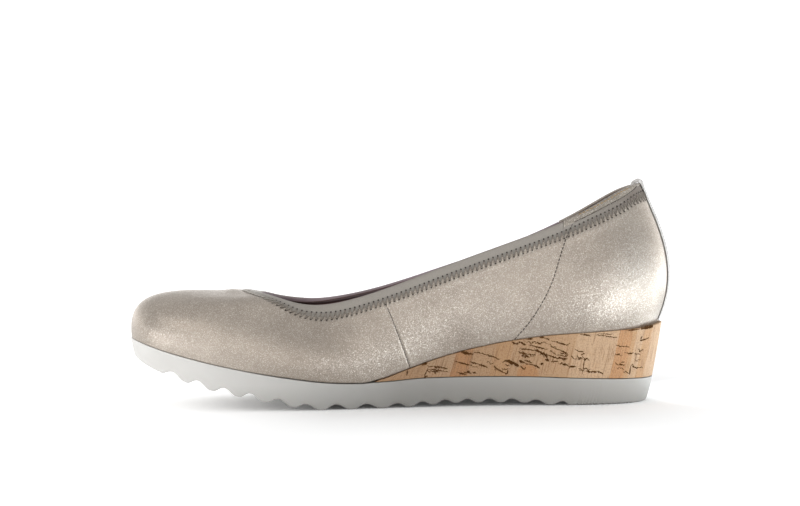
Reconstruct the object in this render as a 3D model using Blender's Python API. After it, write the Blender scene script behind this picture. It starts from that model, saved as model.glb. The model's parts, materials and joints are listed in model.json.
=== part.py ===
"""Right shoe of a low wedge ballet pump, modelled piece by piece as a maker would put it together.

Every size below is in millimetres in the shoe's own frame, and MM turns it into metres. The toe points to -X,
the inner (big toe) side is -Y and +Z is up. The origin is on the floor, under the middle of the shoe.
"""

from collections import namedtuple

import bpy
import numpy as np

MM = 0.001

# Driving sizes
GAP = 0.3  # room between two pieces that meet
LEATHER = 1.8  # thickness of the upper with its lining
BAND_HEIGHT = 3.7  # elastic binding above the zigzag, measured down the wall
BAND_PROUD = 0.4  # how far the binding stands out of the upper
BAND_SHOULDER = 0.7  # height over which its lower edge and its rolled top are rounded
BAND_CREST_HALF = 0.75  # half width of its rolled top
BAND_CREST_DROP = 0.1
COLLAR_RISE = 0.3  # how far the heel collar stands above the elastic binding
COUNTER_X = 75.0  # where binding and heel collar meet at the topline
INSOLE_THICKNESS = 3.0
INSOLE_INSET = 2.6  # from the foot of the upper's outer face
STRAP_THICKNESS = 0.9
STRAP_HALF_WIDTH = 3.8  # of the back strap, at the foot of the heel
STRAP_INSIDE = 9.0  # length that is turned over into the shoe
STRAP_LOOP_RISE = 1.0  # height of the turned-over loop above the collar
STRAP_LOOP_LEAN = 1.2  # how far the loop leans into the shoe
STRAP_LOOP_ROUND = 1.2  # radius of the loop's turns
STRAP_LOOP_FOOT = 2.0  # below the topline, where the loop is back against the lining
STRAP_FOOT_CLEARANCE = 1.2  # between the strap's lower end and the wedge
WEDGE_FRONT_X = -10.0  # where the cork runs out to an edge
LUG_FLAT = 0.1  # share of a lug's height that is worn off its tip
TOE_LUG_LENGTH = 13.0  # round part in front of the first notch
HEEL_LUG_LENGTH = 8.0  # round part behind the last notch
OUTSOLE_SWELL = 0.25  # of its side, half way up
MIDDLE_Y = 0.33  # middle of the shoe's width in the tables below

# The upper's wall, one row for each section round the shoe, from the toe along the inner side to the heel and
# back along the outer side. A section is one curve from its foot on the sole to the topline. low_out and low_up
# point it on its way at the foot, out of the plan outline and up. high_out and high_up hold it at the topline.
WallSection = namedtuple(
    "WallSection", "place foot_x foot_y low_out low_up high_out high_up top_x top_y top_z"
)
WALL_SECTIONS = (
    WallSection("toe tip", -124.8, -6.0, 2.6, 21.4, 50.0, 3.4, -64.5, -3.0, 52.6),
    WallSection("inner toe", -117.0, -25.0, 3.0, 18.5, 44.0, 2.0, -62.6, -10.5, 52.2),
    WallSection("inner forepart", -100.0, -35.3, 3.2, 17.0, 30.0, 2.0, -57.5, -17.5, 50.9),
    WallSection("inner joint", -72.0, -40.2, 3.2, 15.0, 15.0, -0.5, -48.0, -23.2, 48.2),
    WallSection("inner ball", -42.0, -39.5, 3.0, 13.0, 5.5, -9.0, -33.0, -27.6, 47.9),
    WallSection("inner waist front", -12.0, -33.5, 3.2, 13.0, 4.0, -11.0, -10.0, -28.2, 53.7),
    WallSection("inner waist", 22.0, -27.6, 4.0, 13.0, 3.4, -13.0, 22.0, -25.2, 65.2),
    WallSection("inner waist back", 54.0, -26.6, 4.4, 14.0, 4.2, -15.0, 54.0, -22.6, 76.4),
    WallSection("inner heel", 86.0, -27.8, 4.8, 15.0, 6.0, -18.0, 84.0, -20.6, 88.5),
    WallSection("inner heel turn", 110.0, -19.5, 6.6, 15.0, 10.2, -23.0, 103.2, -13.0, 98.5),
    WallSection("heel back", 118.9, 0.0, 8.5, 18.0, 14.4, -28.0, 111.4, 0.0, 100.8),
    WallSection("outer heel turn", 110.0, 19.5, 6.6, 15.0, 10.2, -23.0, 103.2, 13.0, 98.0),
    WallSection("outer heel", 86.0, 27.8, 4.8, 15.0, 6.0, -18.0, 84.0, 20.6, 87.2),
    WallSection("outer waist back", 54.0, 29.3, 4.0, 14.0, 4.6, -15.0, 54.0, 22.8, 73.4),
    WallSection("outer waist", 22.0, 32.3, 3.4, 13.0, 5.0, -13.0, 22.0, 25.5, 62.3),
    WallSection("outer waist front", -12.0, 38.3, 3.0, 13.0, 6.0, -10.0, -10.0, 27.6, 52.2),
    WallSection("outer ball", -42.0, 41.3, 3.0, 13.0, 6.5, -8.0, -33.0, 26.0, 47.7),
    WallSection("outer joint", -72.0, 38.0, 3.2, 15.0, 16.0, 0.0, -48.0, 20.0, 47.6),
    WallSection("outer forepart", -100.0, 26.5, 3.2, 17.0, 30.0, 2.0, -57.5, 12.5, 49.8),
    WallSection("outer toe", -117.0, 11.5, 3.0, 18.5, 44.0, 2.0, -62.6, 4.8, 51.9),
)
NORMAL_SHARE = 10.0  # weight of the outline's normal in the direction of the upper handle

# Heights along the length. seat carries the upper and the insole, and under_wedge is where cork meets rubber.
Height = namedtuple("Height", "x z")
SEAT = (
    Height(-126.0, 32.6),
    Height(-104.0, 26.1),
    Height(-79.0, 20.1),
    Height(-51.5, 15.0),
    Height(-30.0, 12.3),
    Height(-18.0, 11.9),
    Height(-10.0, 13.4),
    Height(3.0, 17.9),
    Height(20.0, 23.6),
    Height(37.0, 27.8),
    Height(54.5, 30.9),
    Height(70.0, 32.8),
    Height(90.0, 34.0),
    Height(110.0, 35.2),
    Height(122.0, 36.8),
)
UNDER_WEDGE = (
    Height(-18.0, 12.0),
    Height(-5.0, 12.6),
    Height(11.0, 13.7),
    Height(30.0, 13.9),
    Height(58.0, 13.6),
    Height(80.0, 12.8),
    Height(119.0, 11.4),
)
TREAD = (
    Height(-126.0, 24.6),
    Height(-115.0, 19.0),
    Height(-108.5, 16.5),
    Height(-86.0, 9.3),
    Height(-61.5, 4.0),
    Height(-47.0, 1.2),
    Height(-40.0, 0.0),
    Height(-4.0, 0.0),
    Height(26.0, 1.6),
    Height(54.0, 1.4),
    Height(74.0, 0.0),
    Height(119.0, 0.0),
)

# Notches across the tread, from toe to heel, with lugs between them like a wave
Notch = namedtuple("Notch", "x depth")
NOTCHES = (
    Notch(-104.5, 2.5),
    Notch(-92.8, 2.7),
    Notch(-80.5, 2.7),
    Notch(-68.6, 2.7),
    Notch(-55.6, 2.6),
    Notch(-43.0, 2.5),
    Notch(-29.6, 2.4),
    Notch(-15.7, 2.2),
    Notch(-1.6, 2.0),
    Notch(9.6, 1.8),
    Notch(20.0, 1.7),
    Notch(30.3, 1.7),
    Notch(40.4, 1.7),
    Notch(50.6, 1.7),
    Notch(62.0, 1.7),
    Notch(74.0, 1.8),
)

# How far the sole's edges stand outside the foot of the upper, at the top of the wedge, at the top of the
# outsole and round the tread
EdgeRow = namedtuple("EdgeRow", "x wedge_top sole_top tread")
SOLE_EDGES = (
    EdgeRow(-126.0, 0.3, 0.3, -1.6),
    EdgeRow(-60.0, 0.4, 0.5, -0.8),
    EdgeRow(0.0, 0.6, 0.5, -0.8),
    EdgeRow(60.0, 0.8, 0.2, -1.6),
    EdgeRow(100.0, 1.1, -0.6, -3.4),
    EdgeRow(119.2, 2.8, -1.8, -4.9),
)

# Fineness of the faceted solids
WALL_COLUMNS = 112
WALL_ROWS = 12
CURVE_STEPS = 60
OUTLINE_STEPS = 900
SLAB_STATIONS = 44
STRAP_COLUMNS = 7
STRAP_ROWS = 9
LUG_PHASES = (0.0, 0.09, 0.2, 0.31, 0.41, 0.59, 0.69, 0.8, 0.91)
TIP_STATIONS = 8
TIP_SHARE = 0.1  # share of the length that is a rounded end
BLUNT_SHARE = 0.0012  # share of the length cut off its very tip
STATION_ROOM = 0.002  # least share of the length between two stations
COLUMN_ROOM = 2.0  # least distance between two columns of a band
HEEL_FLAT_END_X = 92.0
SHARP_ANGLE = np.radians(40)


def hermite(knots, values, slopes, at):
    """Cubic through values with the given slopes at the knots, read at the places at."""
    span = np.clip(np.searchsorted(knots, at, side="right") - 1, 0, len(knots) - 2)
    width = knots[span + 1] - knots[span]
    u = (at - knots[span]) / width
    if values.ndim > 1:
        u, width = u[:, None], width[:, None]
    start = (1 + 2 * u) * (1 - u) ** 2 * values[span] + u * (1 - u) ** 2 * width * slopes[span]
    end = u**2 * (3 - 2 * u) * values[span + 1] + u**2 * (u - 1) * width * slopes[span + 1]
    return start + end


def height_at(rows, x):
    """Height at x of a curve through the rows that never swings past them."""
    knots = np.array([row[0] for row in rows], float)
    values = np.array([row[1] for row in rows], float)
    rise = np.diff(values) / np.diff(knots)
    slopes = np.zeros(len(knots))
    both = rise[:-1] * rise[1:] > 0
    slopes[1:-1][both] = 2 * rise[:-1][both] * rise[1:][both] / (rise[:-1][both] + rise[1:][both])
    slopes[0], slopes[-1] = rise[0], rise[-1]
    return hermite(knots, values, slopes, np.clip(x, knots[0], knots[-1]))


def loop_curve(knots, period, values, at):
    """Smooth closed curve through values at the knots, which repeats after period."""
    count = len(knots)
    steps = np.diff(np.append(knots, knots[0] + period))
    rise = (np.roll(values, -1, axis=0) - values) / steps[:, None]
    system = np.zeros((count, count))
    known = np.zeros_like(values)
    for i in range(count):
        before, after = 1 / steps[i - 1], 1 / steps[i]
        system[i, i - 1] += before
        system[i, i] += 2 * (before + after)
        system[i, (i + 1) % count] += after
        known[i] = 3 * (before * rise[i - 1] + after * rise[i])
    slopes = np.linalg.solve(system, known)
    closed = np.append(knots, knots[0] + period)
    return hermite(closed, np.vstack([values, values[:1]]), np.vstack([slopes, slopes[:1]]), at % period)


SECTION_VALUES = np.array([row[1:] for row in WALL_SECTIONS], float)
SECTION_STEPS = np.linalg.norm(
    np.roll(SECTION_VALUES[:, :2], -1, axis=0) - SECTION_VALUES[:, :2], axis=1
)
SECTION_PLACES = np.concatenate([[0.0], np.cumsum(SECTION_STEPS)[:-1]])
GIRTH = float(SECTION_STEPS.sum())
HEEL_PLACE = SECTION_PLACES[[row.place for row in WALL_SECTIONS].index("heel back")]
LINE_STEP = 0.05  # used to read a direction along the girth


def sections_at(s):
    """The wall's section values at places s along the girth, a dictionary of columns."""
    values = loop_curve(SECTION_PLACES, GIRTH, SECTION_VALUES, np.asarray(s, float))
    return dict(zip(WallSection._fields[1:], values.T))


def outward(s):
    """Unit normals of the plan outline at the foot of the wall."""
    ahead, behind = sections_at(s + LINE_STEP), sections_at(s - LINE_STEP)
    normal = np.stack(
        [ahead["foot_y"] - behind["foot_y"], behind["foot_x"] - ahead["foot_x"]], axis=1
    )
    return normal / np.linalg.norm(normal, axis=1, keepdims=True)


def wall_curves(s):
    """Points of the wall's outer face, one fine curve from foot to topline for each place s."""
    row, normal = sections_at(s), outward(s)
    foot = np.stack([row["foot_x"], row["foot_y"], height_at(SEAT, row["foot_x"])], axis=1)
    top = np.stack([row["top_x"], row["top_y"], row["top_z"]], axis=1)
    across = foot[:, :2] - top[:, :2] + NORMAL_SHARE * normal
    across /= np.linalg.norm(across, axis=1, keepdims=True)
    low = foot + np.column_stack([normal * row["low_out"][:, None], row["low_up"]])
    high = top + np.column_stack([across * row["high_out"][:, None], row["high_up"]])
    t = np.linspace(0, 1, CURVE_STEPS + 1)[None, :, None]
    corners = [p[:, None, :] for p in (foot, low, high, top)]
    weights = ((1 - t) ** 3, 3 * t * (1 - t) ** 2, 3 * t**2 * (1 - t), t**3)
    return sum(weight * corner for weight, corner in zip(weights, corners))


def along(curves, below):
    """Points on the curves at the distances below the topline; a negative one runs on past it."""
    steps = np.linalg.norm(np.diff(curves, axis=1), axis=2)
    found = np.empty((len(curves), below.shape[1], 3))
    for i, curve in enumerate(curves):
        to_top = np.append(np.cumsum(steps[i][::-1])[::-1], 0.0)
        for axis in range(3):
            found[i, :, axis] = np.interp(below[i], to_top[::-1], curve[::-1, axis])
        rise = (curve[-1] - curve[-2]) / steps[i][-1]
        found[i] += np.maximum(-below[i], 0)[:, None] * rise
    return found


def wall_length(curves):
    """Length of each curve from foot to topline."""
    return np.linalg.norm(np.diff(curves, axis=1), axis=2).sum(axis=1)


def wall(s, below, out):
    """Points at places s, at distances below the topline and out of the wall's outer face."""
    s, below, out = np.asarray(s, float), np.asarray(below, float), np.asarray(out, float)
    curves = wall_curves(s)
    here = along(curves, below)
    along_girth = along(wall_curves(s + LINE_STEP), below) - along(wall_curves(s - LINE_STEP), below)
    down_wall = along(curves, below + LINE_STEP) - along(curves, below - LINE_STEP)
    normal = np.cross(down_wall, along_girth)
    normal /= np.linalg.norm(normal, axis=2, keepdims=True)
    return here + normal * out[..., None]


def topline_place(x, inner):
    """Place along the girth where the topline passes x, on the inner or the outer side."""
    start, end = (0.0, HEEL_PLACE) if inner else (HEEL_PLACE, GIRTH)
    s = np.linspace(start, end, OUTLINE_STEPS)
    top_x = sections_at(s)["top_x"]
    order = slice(None) if inner else slice(None, None, -1)
    return float(np.interp(x, top_x[order], s[order]))


def new_object(name, points, faces, material):
    """A named object from points in millimetres, with smooth faces and sharp edges."""
    mesh = bpy.data.meshes.new(name)
    mesh.from_pydata([tuple(p) for p in np.asarray(points) * MM], [], faces)
    mesh.validate()
    mesh.shade_smooth()
    mesh.set_sharp_from_angle(angle=SHARP_ANGLE)
    mesh.materials.append(material)
    made = bpy.data.objects.new(name, mesh)
    bpy.context.scene.collection.objects.link(made)
    made.parent = SHOE
    return made


def new_material(name, colour, roughness, metallic=0.0):
    """A Principled material in the photograph's colour."""
    made = bpy.data.materials.new(name)
    made.use_nodes = True
    shader = made.node_tree.nodes["Principled BSDF"]
    shader.inputs["Base Color"].default_value = (*colour, 1.0)
    shader.inputs["Roughness"].default_value = roughness
    shader.inputs["Metallic"].default_value = metallic
    return made


def ring_faces(count, around, closed):
    """Quads between rings of points, and end caps where the run of rings isn't closed."""
    faces = []
    for i in range(count if closed else count - 1):
        here, there = i * around, (i + 1) % count * around
        for j in range(around):
            k = (j + 1) % around
            faces.append((here + j, there + j, there + k, here + k))
    if not closed:
        faces.append(tuple(range(around)))
        faces.append(tuple((count - 1) * around + j for j in reversed(range(around))))
    return faces


def loft(name, rings, material, closed=False):
    """A solid through rings of points, each ring running the same way round."""
    rings = np.asarray(rings)
    count, around = rings.shape[:2]
    return new_object(name, rings.reshape(-1, 3), ring_faces(count, around, closed), material)


def make_upper(material):
    """The leather wall, open at the topline and underneath."""
    s = np.linspace(0, GIRTH, WALL_COLUMNS, endpoint=False)
    curves = wall_curves(s)
    length = wall_length(curves)
    top = BAND_HEIGHT + GAP
    below = length[:, None] + np.linspace(0, 1, WALL_ROWS + 1)[None, :] * (top - length)[:, None]
    outer = wall(s, below, np.zeros_like(below))
    inner = wall(s, below, np.full_like(below, -LEATHER))
    inner[:, 0, 2] = outer[:, 0, 2]
    rings = np.concatenate([outer, inner[:, ::-1]], axis=1)
    return loft("upper", rings, material, closed=True)


def band_rings(s, crest):
    """Rings of a rolled band along the topline, whose crest stands that far above it."""
    inside = -LEATHER - BAND_PROUD
    middle = (BAND_PROUD + inside) / 2
    profile = (
        (BAND_HEIGHT, BAND_PROUD / 2),
        (BAND_HEIGHT - BAND_SHOULDER, BAND_PROUD),
        (BAND_SHOULDER - crest, BAND_PROUD),
        (BAND_CREST_DROP - crest, middle + BAND_CREST_HALF),
        (-crest, middle),
        (BAND_CREST_DROP - crest, middle - BAND_CREST_HALF),
        (BAND_SHOULDER - crest, inside),
        (BAND_HEIGHT - BAND_SHOULDER, inside),
        (BAND_HEIGHT, inside + BAND_PROUD / 2),
    )
    below, out = np.array(profile).T
    shape = (len(s), 1)
    return wall(s, np.tile(below, shape), np.tile(out, shape))


def make_bands(binding_material, collar_material):
    """The elastic binding round the throat and the leather collar round the heel."""
    inner_end, outer_end = topline_place(COUNTER_X, True), topline_place(COUNTER_X, False)
    grid = np.linspace(0, 2 * GIRTH, 2 * WALL_COLUMNS, endpoint=False)
    throat = grid[(grid > outer_end + COLUMN_ROOM) & (grid < inner_end + GIRTH - COLUMN_ROOM)]
    heel = grid[(grid > inner_end + COLUMN_ROOM) & (grid < outer_end - COLUMN_ROOM)]
    throat = np.concatenate([[outer_end + GAP], throat, [inner_end + GIRTH - GAP]])
    heel = np.concatenate([[inner_end + GAP], heel, [outer_end - GAP]])
    loft("topline_binding", band_rings(throat, 0.0), binding_material)
    loft("heel_collar", band_rings(heel, COLLAR_RISE), collar_material)


def thickened(path, thickness):
    """The path moved to its left by thickness, both paths joined into one ring."""
    path = np.asarray(path, float)
    run = np.gradient(path, axis=0)
    run /= np.linalg.norm(run, axis=1, keepdims=True)
    left = np.column_stack([-run[:, 1], run[:, 0]])
    return np.vstack([path, (path + left * thickness)[::-1]])


def make_back_strap(material):
    """The strap up the back of the heel, turned over the collar into the shoe."""
    s = HEEL_PLACE + np.linspace(-STRAP_HALF_WIDTH, STRAP_HALF_WIDTH, STRAP_COLUMNS)
    length = float(wall_length(wall_curves(np.array([HEEL_PLACE])))[0])
    clear = BAND_PROUD + GAP
    inside = -LEATHER - BAND_PROUD - GAP
    loop_inside = inside - STRAP_LOOP_LEAN
    crest = COLLAR_RISE + GAP + STRAP_LOOP_RISE
    lower_end = length - STRAP_FOOT_CLEARANCE
    path = [(below, GAP) for below in np.linspace(lower_end, 2.5 * BAND_HEIGHT, STRAP_ROWS)]
    path += [(1.5 * BAND_HEIGHT, clear), (STRAP_LOOP_ROUND / 2, clear)]
    path += [(-crest / 2, clear - STRAP_LOOP_ROUND / 3), (-crest, clear - STRAP_LOOP_ROUND)]
    path += [(-crest, loop_inside + STRAP_LOOP_ROUND), (-crest / 2, loop_inside)]
    path += [(STRAP_LOOP_FOOT, inside), (STRAP_INSIDE, inside)]
    ring = thickened([(out, -below) for below, out in path], -STRAP_THICKNESS)[::-1]
    below, out = -ring[:, 1], ring[:, 0]
    shape = (len(s), 1)
    return loft("back_strap", wall(s, np.tile(below, shape), np.tile(out, shape)), material)


def edge_offset(column, x):
    """How far the named sole edge stands outside the foot of the upper."""
    return height_at([(row.x, getattr(row, column)) for row in SOLE_EDGES], x)


class Outline:
    """The plan outline of the upper's foot, moved outwards by an offset that may vary along the length."""

    def __init__(self, offset):
        s = np.linspace(0, GIRTH, OUTLINE_STEPS, endpoint=False)
        row = sections_at(s)
        foot = np.stack([row["foot_x"], row["foot_y"]], axis=1)
        points = foot + outward(s) * np.broadcast_to(offset(foot[:, 0]), s.shape)[:, None]
        toe, heel = int(points[:, 0].argmin()), int(points[:, 0].argmax())
        points = np.roll(points, -toe, axis=0)
        turn = (heel - toe) % OUTLINE_STEPS
        self.inner = points[: turn + 1]
        self.outer = np.vstack([points[turn:], points[:1]])[::-1]
        self.toe_x, self.heel_x = points[0, 0], points[turn, 0]

    def edges(self, share):
        """(x, inner y, outer y) at a share of the way from toe to heel."""
        x = self.toe_x + share * (self.heel_x - self.toe_x)
        inner = np.interp(x, self.inner[:, 0], self.inner[:, 1])
        outer = np.interp(x, self.outer[:, 0], self.outer[:, 1])
        return x, inner, outer

    def share(self, x):
        """The share of the way from toe to heel at x."""
        return (x - self.toe_x) / (self.heel_x - self.toe_x)


def end_shares():
    """Shares of a length that crowd together at a rounded end, from its blunt tip inwards."""
    turn = np.linspace(0, np.pi / 2, TIP_STATIONS, endpoint=False)
    return BLUNT_SHARE + (1 - np.cos(turn)) * TIP_SHARE


def with_ends(middle):
    """The stations of a slab's middle with those of its rounded toe and heel."""
    toe, heel = end_shares(), 1 - end_shares()[::-1]
    return np.concatenate(
        [toe[toe < middle[0] - STATION_ROOM], middle, heel[heel > middle[-1] + STATION_ROOM]]
    )


def slab_ring(upper_edge, lower_edge, share, upper_z, lower_z, swell=0.0):
    """One ring across a slab whose upper and lower outlines differ. Its sides may swell half way up."""
    x_up, inner_up, outer_up = upper_edge.edges(share)
    x_low, inner_low, outer_low = lower_edge.edges(share)
    top, bottom = float(upper_z(x_up)), float(lower_z(x_low))
    x_mid, z_mid = (x_up + x_low) / 2, (top + bottom) / 2
    return [
        (x_up, (inner_up + outer_up) / 2, top),
        (x_up, outer_up, top),
        (x_mid, (outer_up + outer_low) / 2 + swell, z_mid),
        (x_low, outer_low, bottom),
        (x_low, (inner_low + outer_low) / 2, bottom),
        (x_low, inner_low, bottom),
        (x_mid, (inner_up + inner_low) / 2 - swell, z_mid),
        (x_up, inner_up, top),
    ]


def seat_z(x):
    """Height that carries the foot of the upper."""
    return height_at(SEAT, x)


def under_wedge_z(x):
    """Height of the joint between cork and rubber."""
    return height_at(UNDER_WEDGE, x)


def sole_top_z(x):
    """Top of the outsole, under the upper in front and under the wedge behind."""
    if x < UNDER_WEDGE[0].x:
        return seat_z(x) - GAP
    return np.minimum(seat_z(x), under_wedge_z(x)) - GAP


def lug_rise(x):
    """Height above the tread line of a wave of lugs with slightly flattened tips."""
    here = [notch.x for notch in NOTCHES]
    after = int(np.searchsorted(here, x))
    if after == 0:
        depth, phase = NOTCHES[0].depth, (here[0] - x) / TOE_LUG_LENGTH
    elif after == len(here):
        depth, phase = NOTCHES[-1].depth, (x - here[-1]) / HEEL_LUG_LENGTH
    else:
        phase = (x - here[after - 1]) / (here[after] - here[after - 1])
        depth = NOTCHES[after - 1].depth * (1 - phase) + NOTCHES[after].depth * phase
    wave = (1 + np.cos(2 * np.pi * phase)) / 2 if 0.5 > phase or 0 < after < len(here) else 0.0
    return depth * max(wave * (1 + LUG_FLAT) - LUG_FLAT, 0.0)


def tread_z(x):
    """Underside of the outsole, lugs included."""
    return height_at(TREAD, x) + lug_rise(x)


def outsole_shares(tread_edge):
    """Stations along the outsole: rounded ends, and every phase of every lug between them."""
    here = [notch.x for notch in NOTCHES]
    starts = [here[0] - TOE_LUG_LENGTH] + here
    ends = here + [here[-1] + HEEL_LUG_LENGTH]
    places = [a + (b - a) * phase for a, b in zip(starts, ends) for phase in LUG_PHASES]
    places += list(np.linspace(here[-1] + HEEL_LUG_LENGTH, HEEL_FLAT_END_X, 3))
    middle = np.array([tread_edge.share(x) for x in sorted(places)])
    return with_ends(middle)


def make_outsole(material):
    """The moulded rubber sole, with its toe spring, transverse lugs and flat heel."""
    top_edge = Outline(lambda x: edge_offset("sole_top", x))
    tread_edge = Outline(lambda x: edge_offset("tread", x))
    rings = [
        slab_ring(top_edge, tread_edge, share, sole_top_z, tread_z, OUTSOLE_SWELL)
        for share in outsole_shares(tread_edge)
    ]
    return loft("outsole", rings, material)


def make_wedge(material):
    """The cork wedge between outsole and upper, from the ball to the heel."""
    top_edge = Outline(lambda x: edge_offset("wedge_top", x))
    low_edge = Outline(lambda x: edge_offset("sole_top", x))
    front = top_edge.share(WEDGE_FRONT_X)
    shares = with_ends(np.linspace(front, 1 - TIP_SHARE, SLAB_STATIONS))
    rings = [
        slab_ring(top_edge, low_edge, share, lambda x: seat_z(x) - GAP, under_wedge_z)
        for share in shares[shares >= front]
    ]
    return loft("wedge", rings, material)


def make_insole(material):
    """The footbed inside the upper."""
    edge = Outline(lambda x: -INSOLE_INSET)
    rings = [
        slab_ring(edge, edge, share, lambda x: seat_z(x) + INSOLE_THICKNESS, seat_z)
        for share in with_ends(np.linspace(TIP_SHARE, 1 - TIP_SHARE, SLAB_STATIONS))
    ]
    return loft("insole", rings, material)


for old in list(bpy.data.objects):
    bpy.data.objects.remove(old)

SHOE = bpy.data.objects.new("shoe_right", None)
SHOE.location.y = -MIDDLE_Y * MM
bpy.context.scene.collection.objects.link(SHOE)

make_outsole(new_material("pale grey rubber", (0.56, 0.55, 0.52), 0.6))
make_wedge(new_material("natural cork", (0.46, 0.29, 0.16), 0.75))
make_insole(new_material("taupe lining leather", (0.36, 0.29, 0.26), 0.6))
make_upper(new_material("champagne metallic suede", (0.44, 0.39, 0.33), 0.5, 0.3))
make_bands(
    new_material("grey taupe elastic binding", (0.31, 0.28, 0.25), 0.55),
    new_material("champagne collar leather", (0.37, 0.33, 0.28), 0.5, 0.2),
)
make_back_strap(new_material("pale champagne strap leather", (0.52, 0.49, 0.45), 0.45, 0.2))
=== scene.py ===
"""Looks of a right ballet pump on a low cork wedge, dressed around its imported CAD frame.

Sizes in the tables are millimetres in the shoe's own frame, and MM turns them into metres. Places of lights,
of the camera and within materials are in metres. The toe points to -X, the inner side of the foot is -Y and
+Z is up. The wall of the upper is read by its place along the girth, from the toe tip along the inner side
and round the heel, and by the distance below the topline.
"""

import json
from collections import namedtuple

import bpy
import numpy as np
from bpy.props import FloatProperty, FloatVectorProperty, PointerProperty
from mathutils import Matrix, Vector
from mathutils.kdtree import KDTree

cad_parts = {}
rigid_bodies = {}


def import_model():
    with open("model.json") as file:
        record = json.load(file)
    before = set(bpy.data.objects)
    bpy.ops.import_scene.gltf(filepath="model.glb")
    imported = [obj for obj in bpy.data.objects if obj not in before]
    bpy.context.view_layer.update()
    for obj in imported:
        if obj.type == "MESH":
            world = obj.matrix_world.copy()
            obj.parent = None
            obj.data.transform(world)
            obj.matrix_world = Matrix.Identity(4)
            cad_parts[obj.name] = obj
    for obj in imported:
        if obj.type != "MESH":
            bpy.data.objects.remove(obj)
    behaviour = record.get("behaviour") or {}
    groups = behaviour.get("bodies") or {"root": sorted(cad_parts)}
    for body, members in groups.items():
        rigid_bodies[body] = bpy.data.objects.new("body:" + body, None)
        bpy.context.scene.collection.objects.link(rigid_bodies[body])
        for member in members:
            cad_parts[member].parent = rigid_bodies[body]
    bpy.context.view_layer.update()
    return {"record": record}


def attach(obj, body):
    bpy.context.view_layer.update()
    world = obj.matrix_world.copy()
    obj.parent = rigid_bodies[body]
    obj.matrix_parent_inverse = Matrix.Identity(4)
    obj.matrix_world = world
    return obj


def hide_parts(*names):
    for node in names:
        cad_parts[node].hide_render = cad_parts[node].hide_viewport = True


for leftover in list(bpy.data.objects):
    bpy.data.objects.remove(leftover)
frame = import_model()

bl_info = {
    "name": "Cork wedge ballet pump",
    "version": (1, 0, 0),
    "blender": (4, 5, 0),
    "location": "3D View > Sidebar > Pump",
    "description": "Builds the leather, stitching, cork and rubber of a ballet pump around its CAD frame",
    "category": "Object",
}


def rows_of(kind, *rows):
    """A table of rows of one kind."""
    return tuple(kind(*row) for row in rows)


MM = 0.001
BODY = "root"
SLOT_COLOURS = {row["slot"]: row["base_color"] for row in frame["record"]["materials"]}

# Sizes that the solids are made to
GAP = 0.3
LEATHER = 1.8  # upper with its lining
BAND_HEIGHT = 3.7
BAND_PROUD = 0.4
COLLAR_RISE = 0.3
COUNTER_X = 75.0  # where elastic and heel collar meet
INSOLE_THICKNESS = 3.0
INSOLE_INSET = 2.6
STRAP_HALF_WIDTH = 3.8
STRAP_INSIDE = 9.0
STRAP_FOOT_CLEARANCE = 1.2
WEDGE_FRONT_X = -10.0
LUG_FLAT = 0.1
TOE_LUG_LENGTH = 13.0
HEEL_LUG_LENGTH = 8.0
MIDDLE_Y = 0.33

# The upper's wall, section by section round the shoe. A section is one curve from its foot to the topline.
# low_out and low_up point it on its way at the foot, high_out and high_up hold it at the topline.
WallSection = namedtuple(
    "WallSection", "place foot_x foot_y low_out low_up high_out high_up top_x top_y top_z"
)
WALL_SECTIONS = rows_of(
    WallSection,
    ("toe tip", -124.8, -6.0, 2.6, 21.4, 50.0, 3.4, -64.5, -3.0, 52.6),
    ("inner toe", -117.0, -25.0, 3.0, 18.5, 44.0, 2.0, -62.6, -10.5, 52.2),
    ("inner forepart", -100.0, -35.3, 3.2, 17.0, 30.0, 2.0, -57.5, -17.5, 50.9),
    ("inner joint", -72.0, -40.2, 3.2, 15.0, 15.0, -0.5, -48.0, -23.2, 48.2),
    ("inner ball", -42.0, -39.5, 3.0, 13.0, 5.5, -9.0, -33.0, -27.6, 47.9),
    ("inner waist front", -12.0, -33.5, 3.2, 13.0, 4.0, -11.0, -10.0, -28.2, 53.7),
    ("inner waist", 22.0, -27.6, 4.0, 13.0, 3.4, -13.0, 22.0, -25.2, 65.2),
    ("inner waist back", 54.0, -26.6, 4.4, 14.0, 4.2, -15.0, 54.0, -22.6, 76.4),
    ("inner heel", 86.0, -27.8, 4.8, 15.0, 6.0, -18.0, 84.0, -20.6, 88.5),
    ("inner heel turn", 110.0, -19.5, 6.6, 15.0, 10.2, -23.0, 103.2, -13.0, 98.5),
    ("heel back", 118.9, 0.0, 8.5, 18.0, 14.4, -28.0, 111.4, 0.0, 100.8),
    ("outer heel turn", 110.0, 19.5, 6.6, 15.0, 10.2, -23.0, 103.2, 13.0, 98.0),
    ("outer heel", 86.0, 27.8, 4.8, 15.0, 6.0, -18.0, 84.0, 20.6, 87.2),
    ("outer waist back", 54.0, 29.3, 4.0, 14.0, 4.6, -15.0, 54.0, 22.8, 73.4),
    ("outer waist", 22.0, 32.3, 3.4, 13.0, 5.0, -13.0, 22.0, 25.5, 62.3),
    ("outer waist front", -12.0, 38.3, 3.0, 13.0, 6.0, -10.0, -10.0, 27.6, 52.2),
    ("outer ball", -42.0, 41.3, 3.0, 13.0, 6.5, -8.0, -33.0, 26.0, 47.7),
    ("outer joint", -72.0, 38.0, 3.2, 15.0, 16.0, 0.0, -48.0, 20.0, 47.6),
    ("outer forepart", -100.0, 26.5, 3.2, 17.0, 30.0, 2.0, -57.5, 12.5, 49.8),
    ("outer toe", -117.0, 11.5, 3.0, 18.5, 44.0, 2.0, -62.6, 4.8, 51.9),
)
NORMAL_SHARE = 10.0  # weight of the outline's normal in the direction of the upper handle

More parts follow.
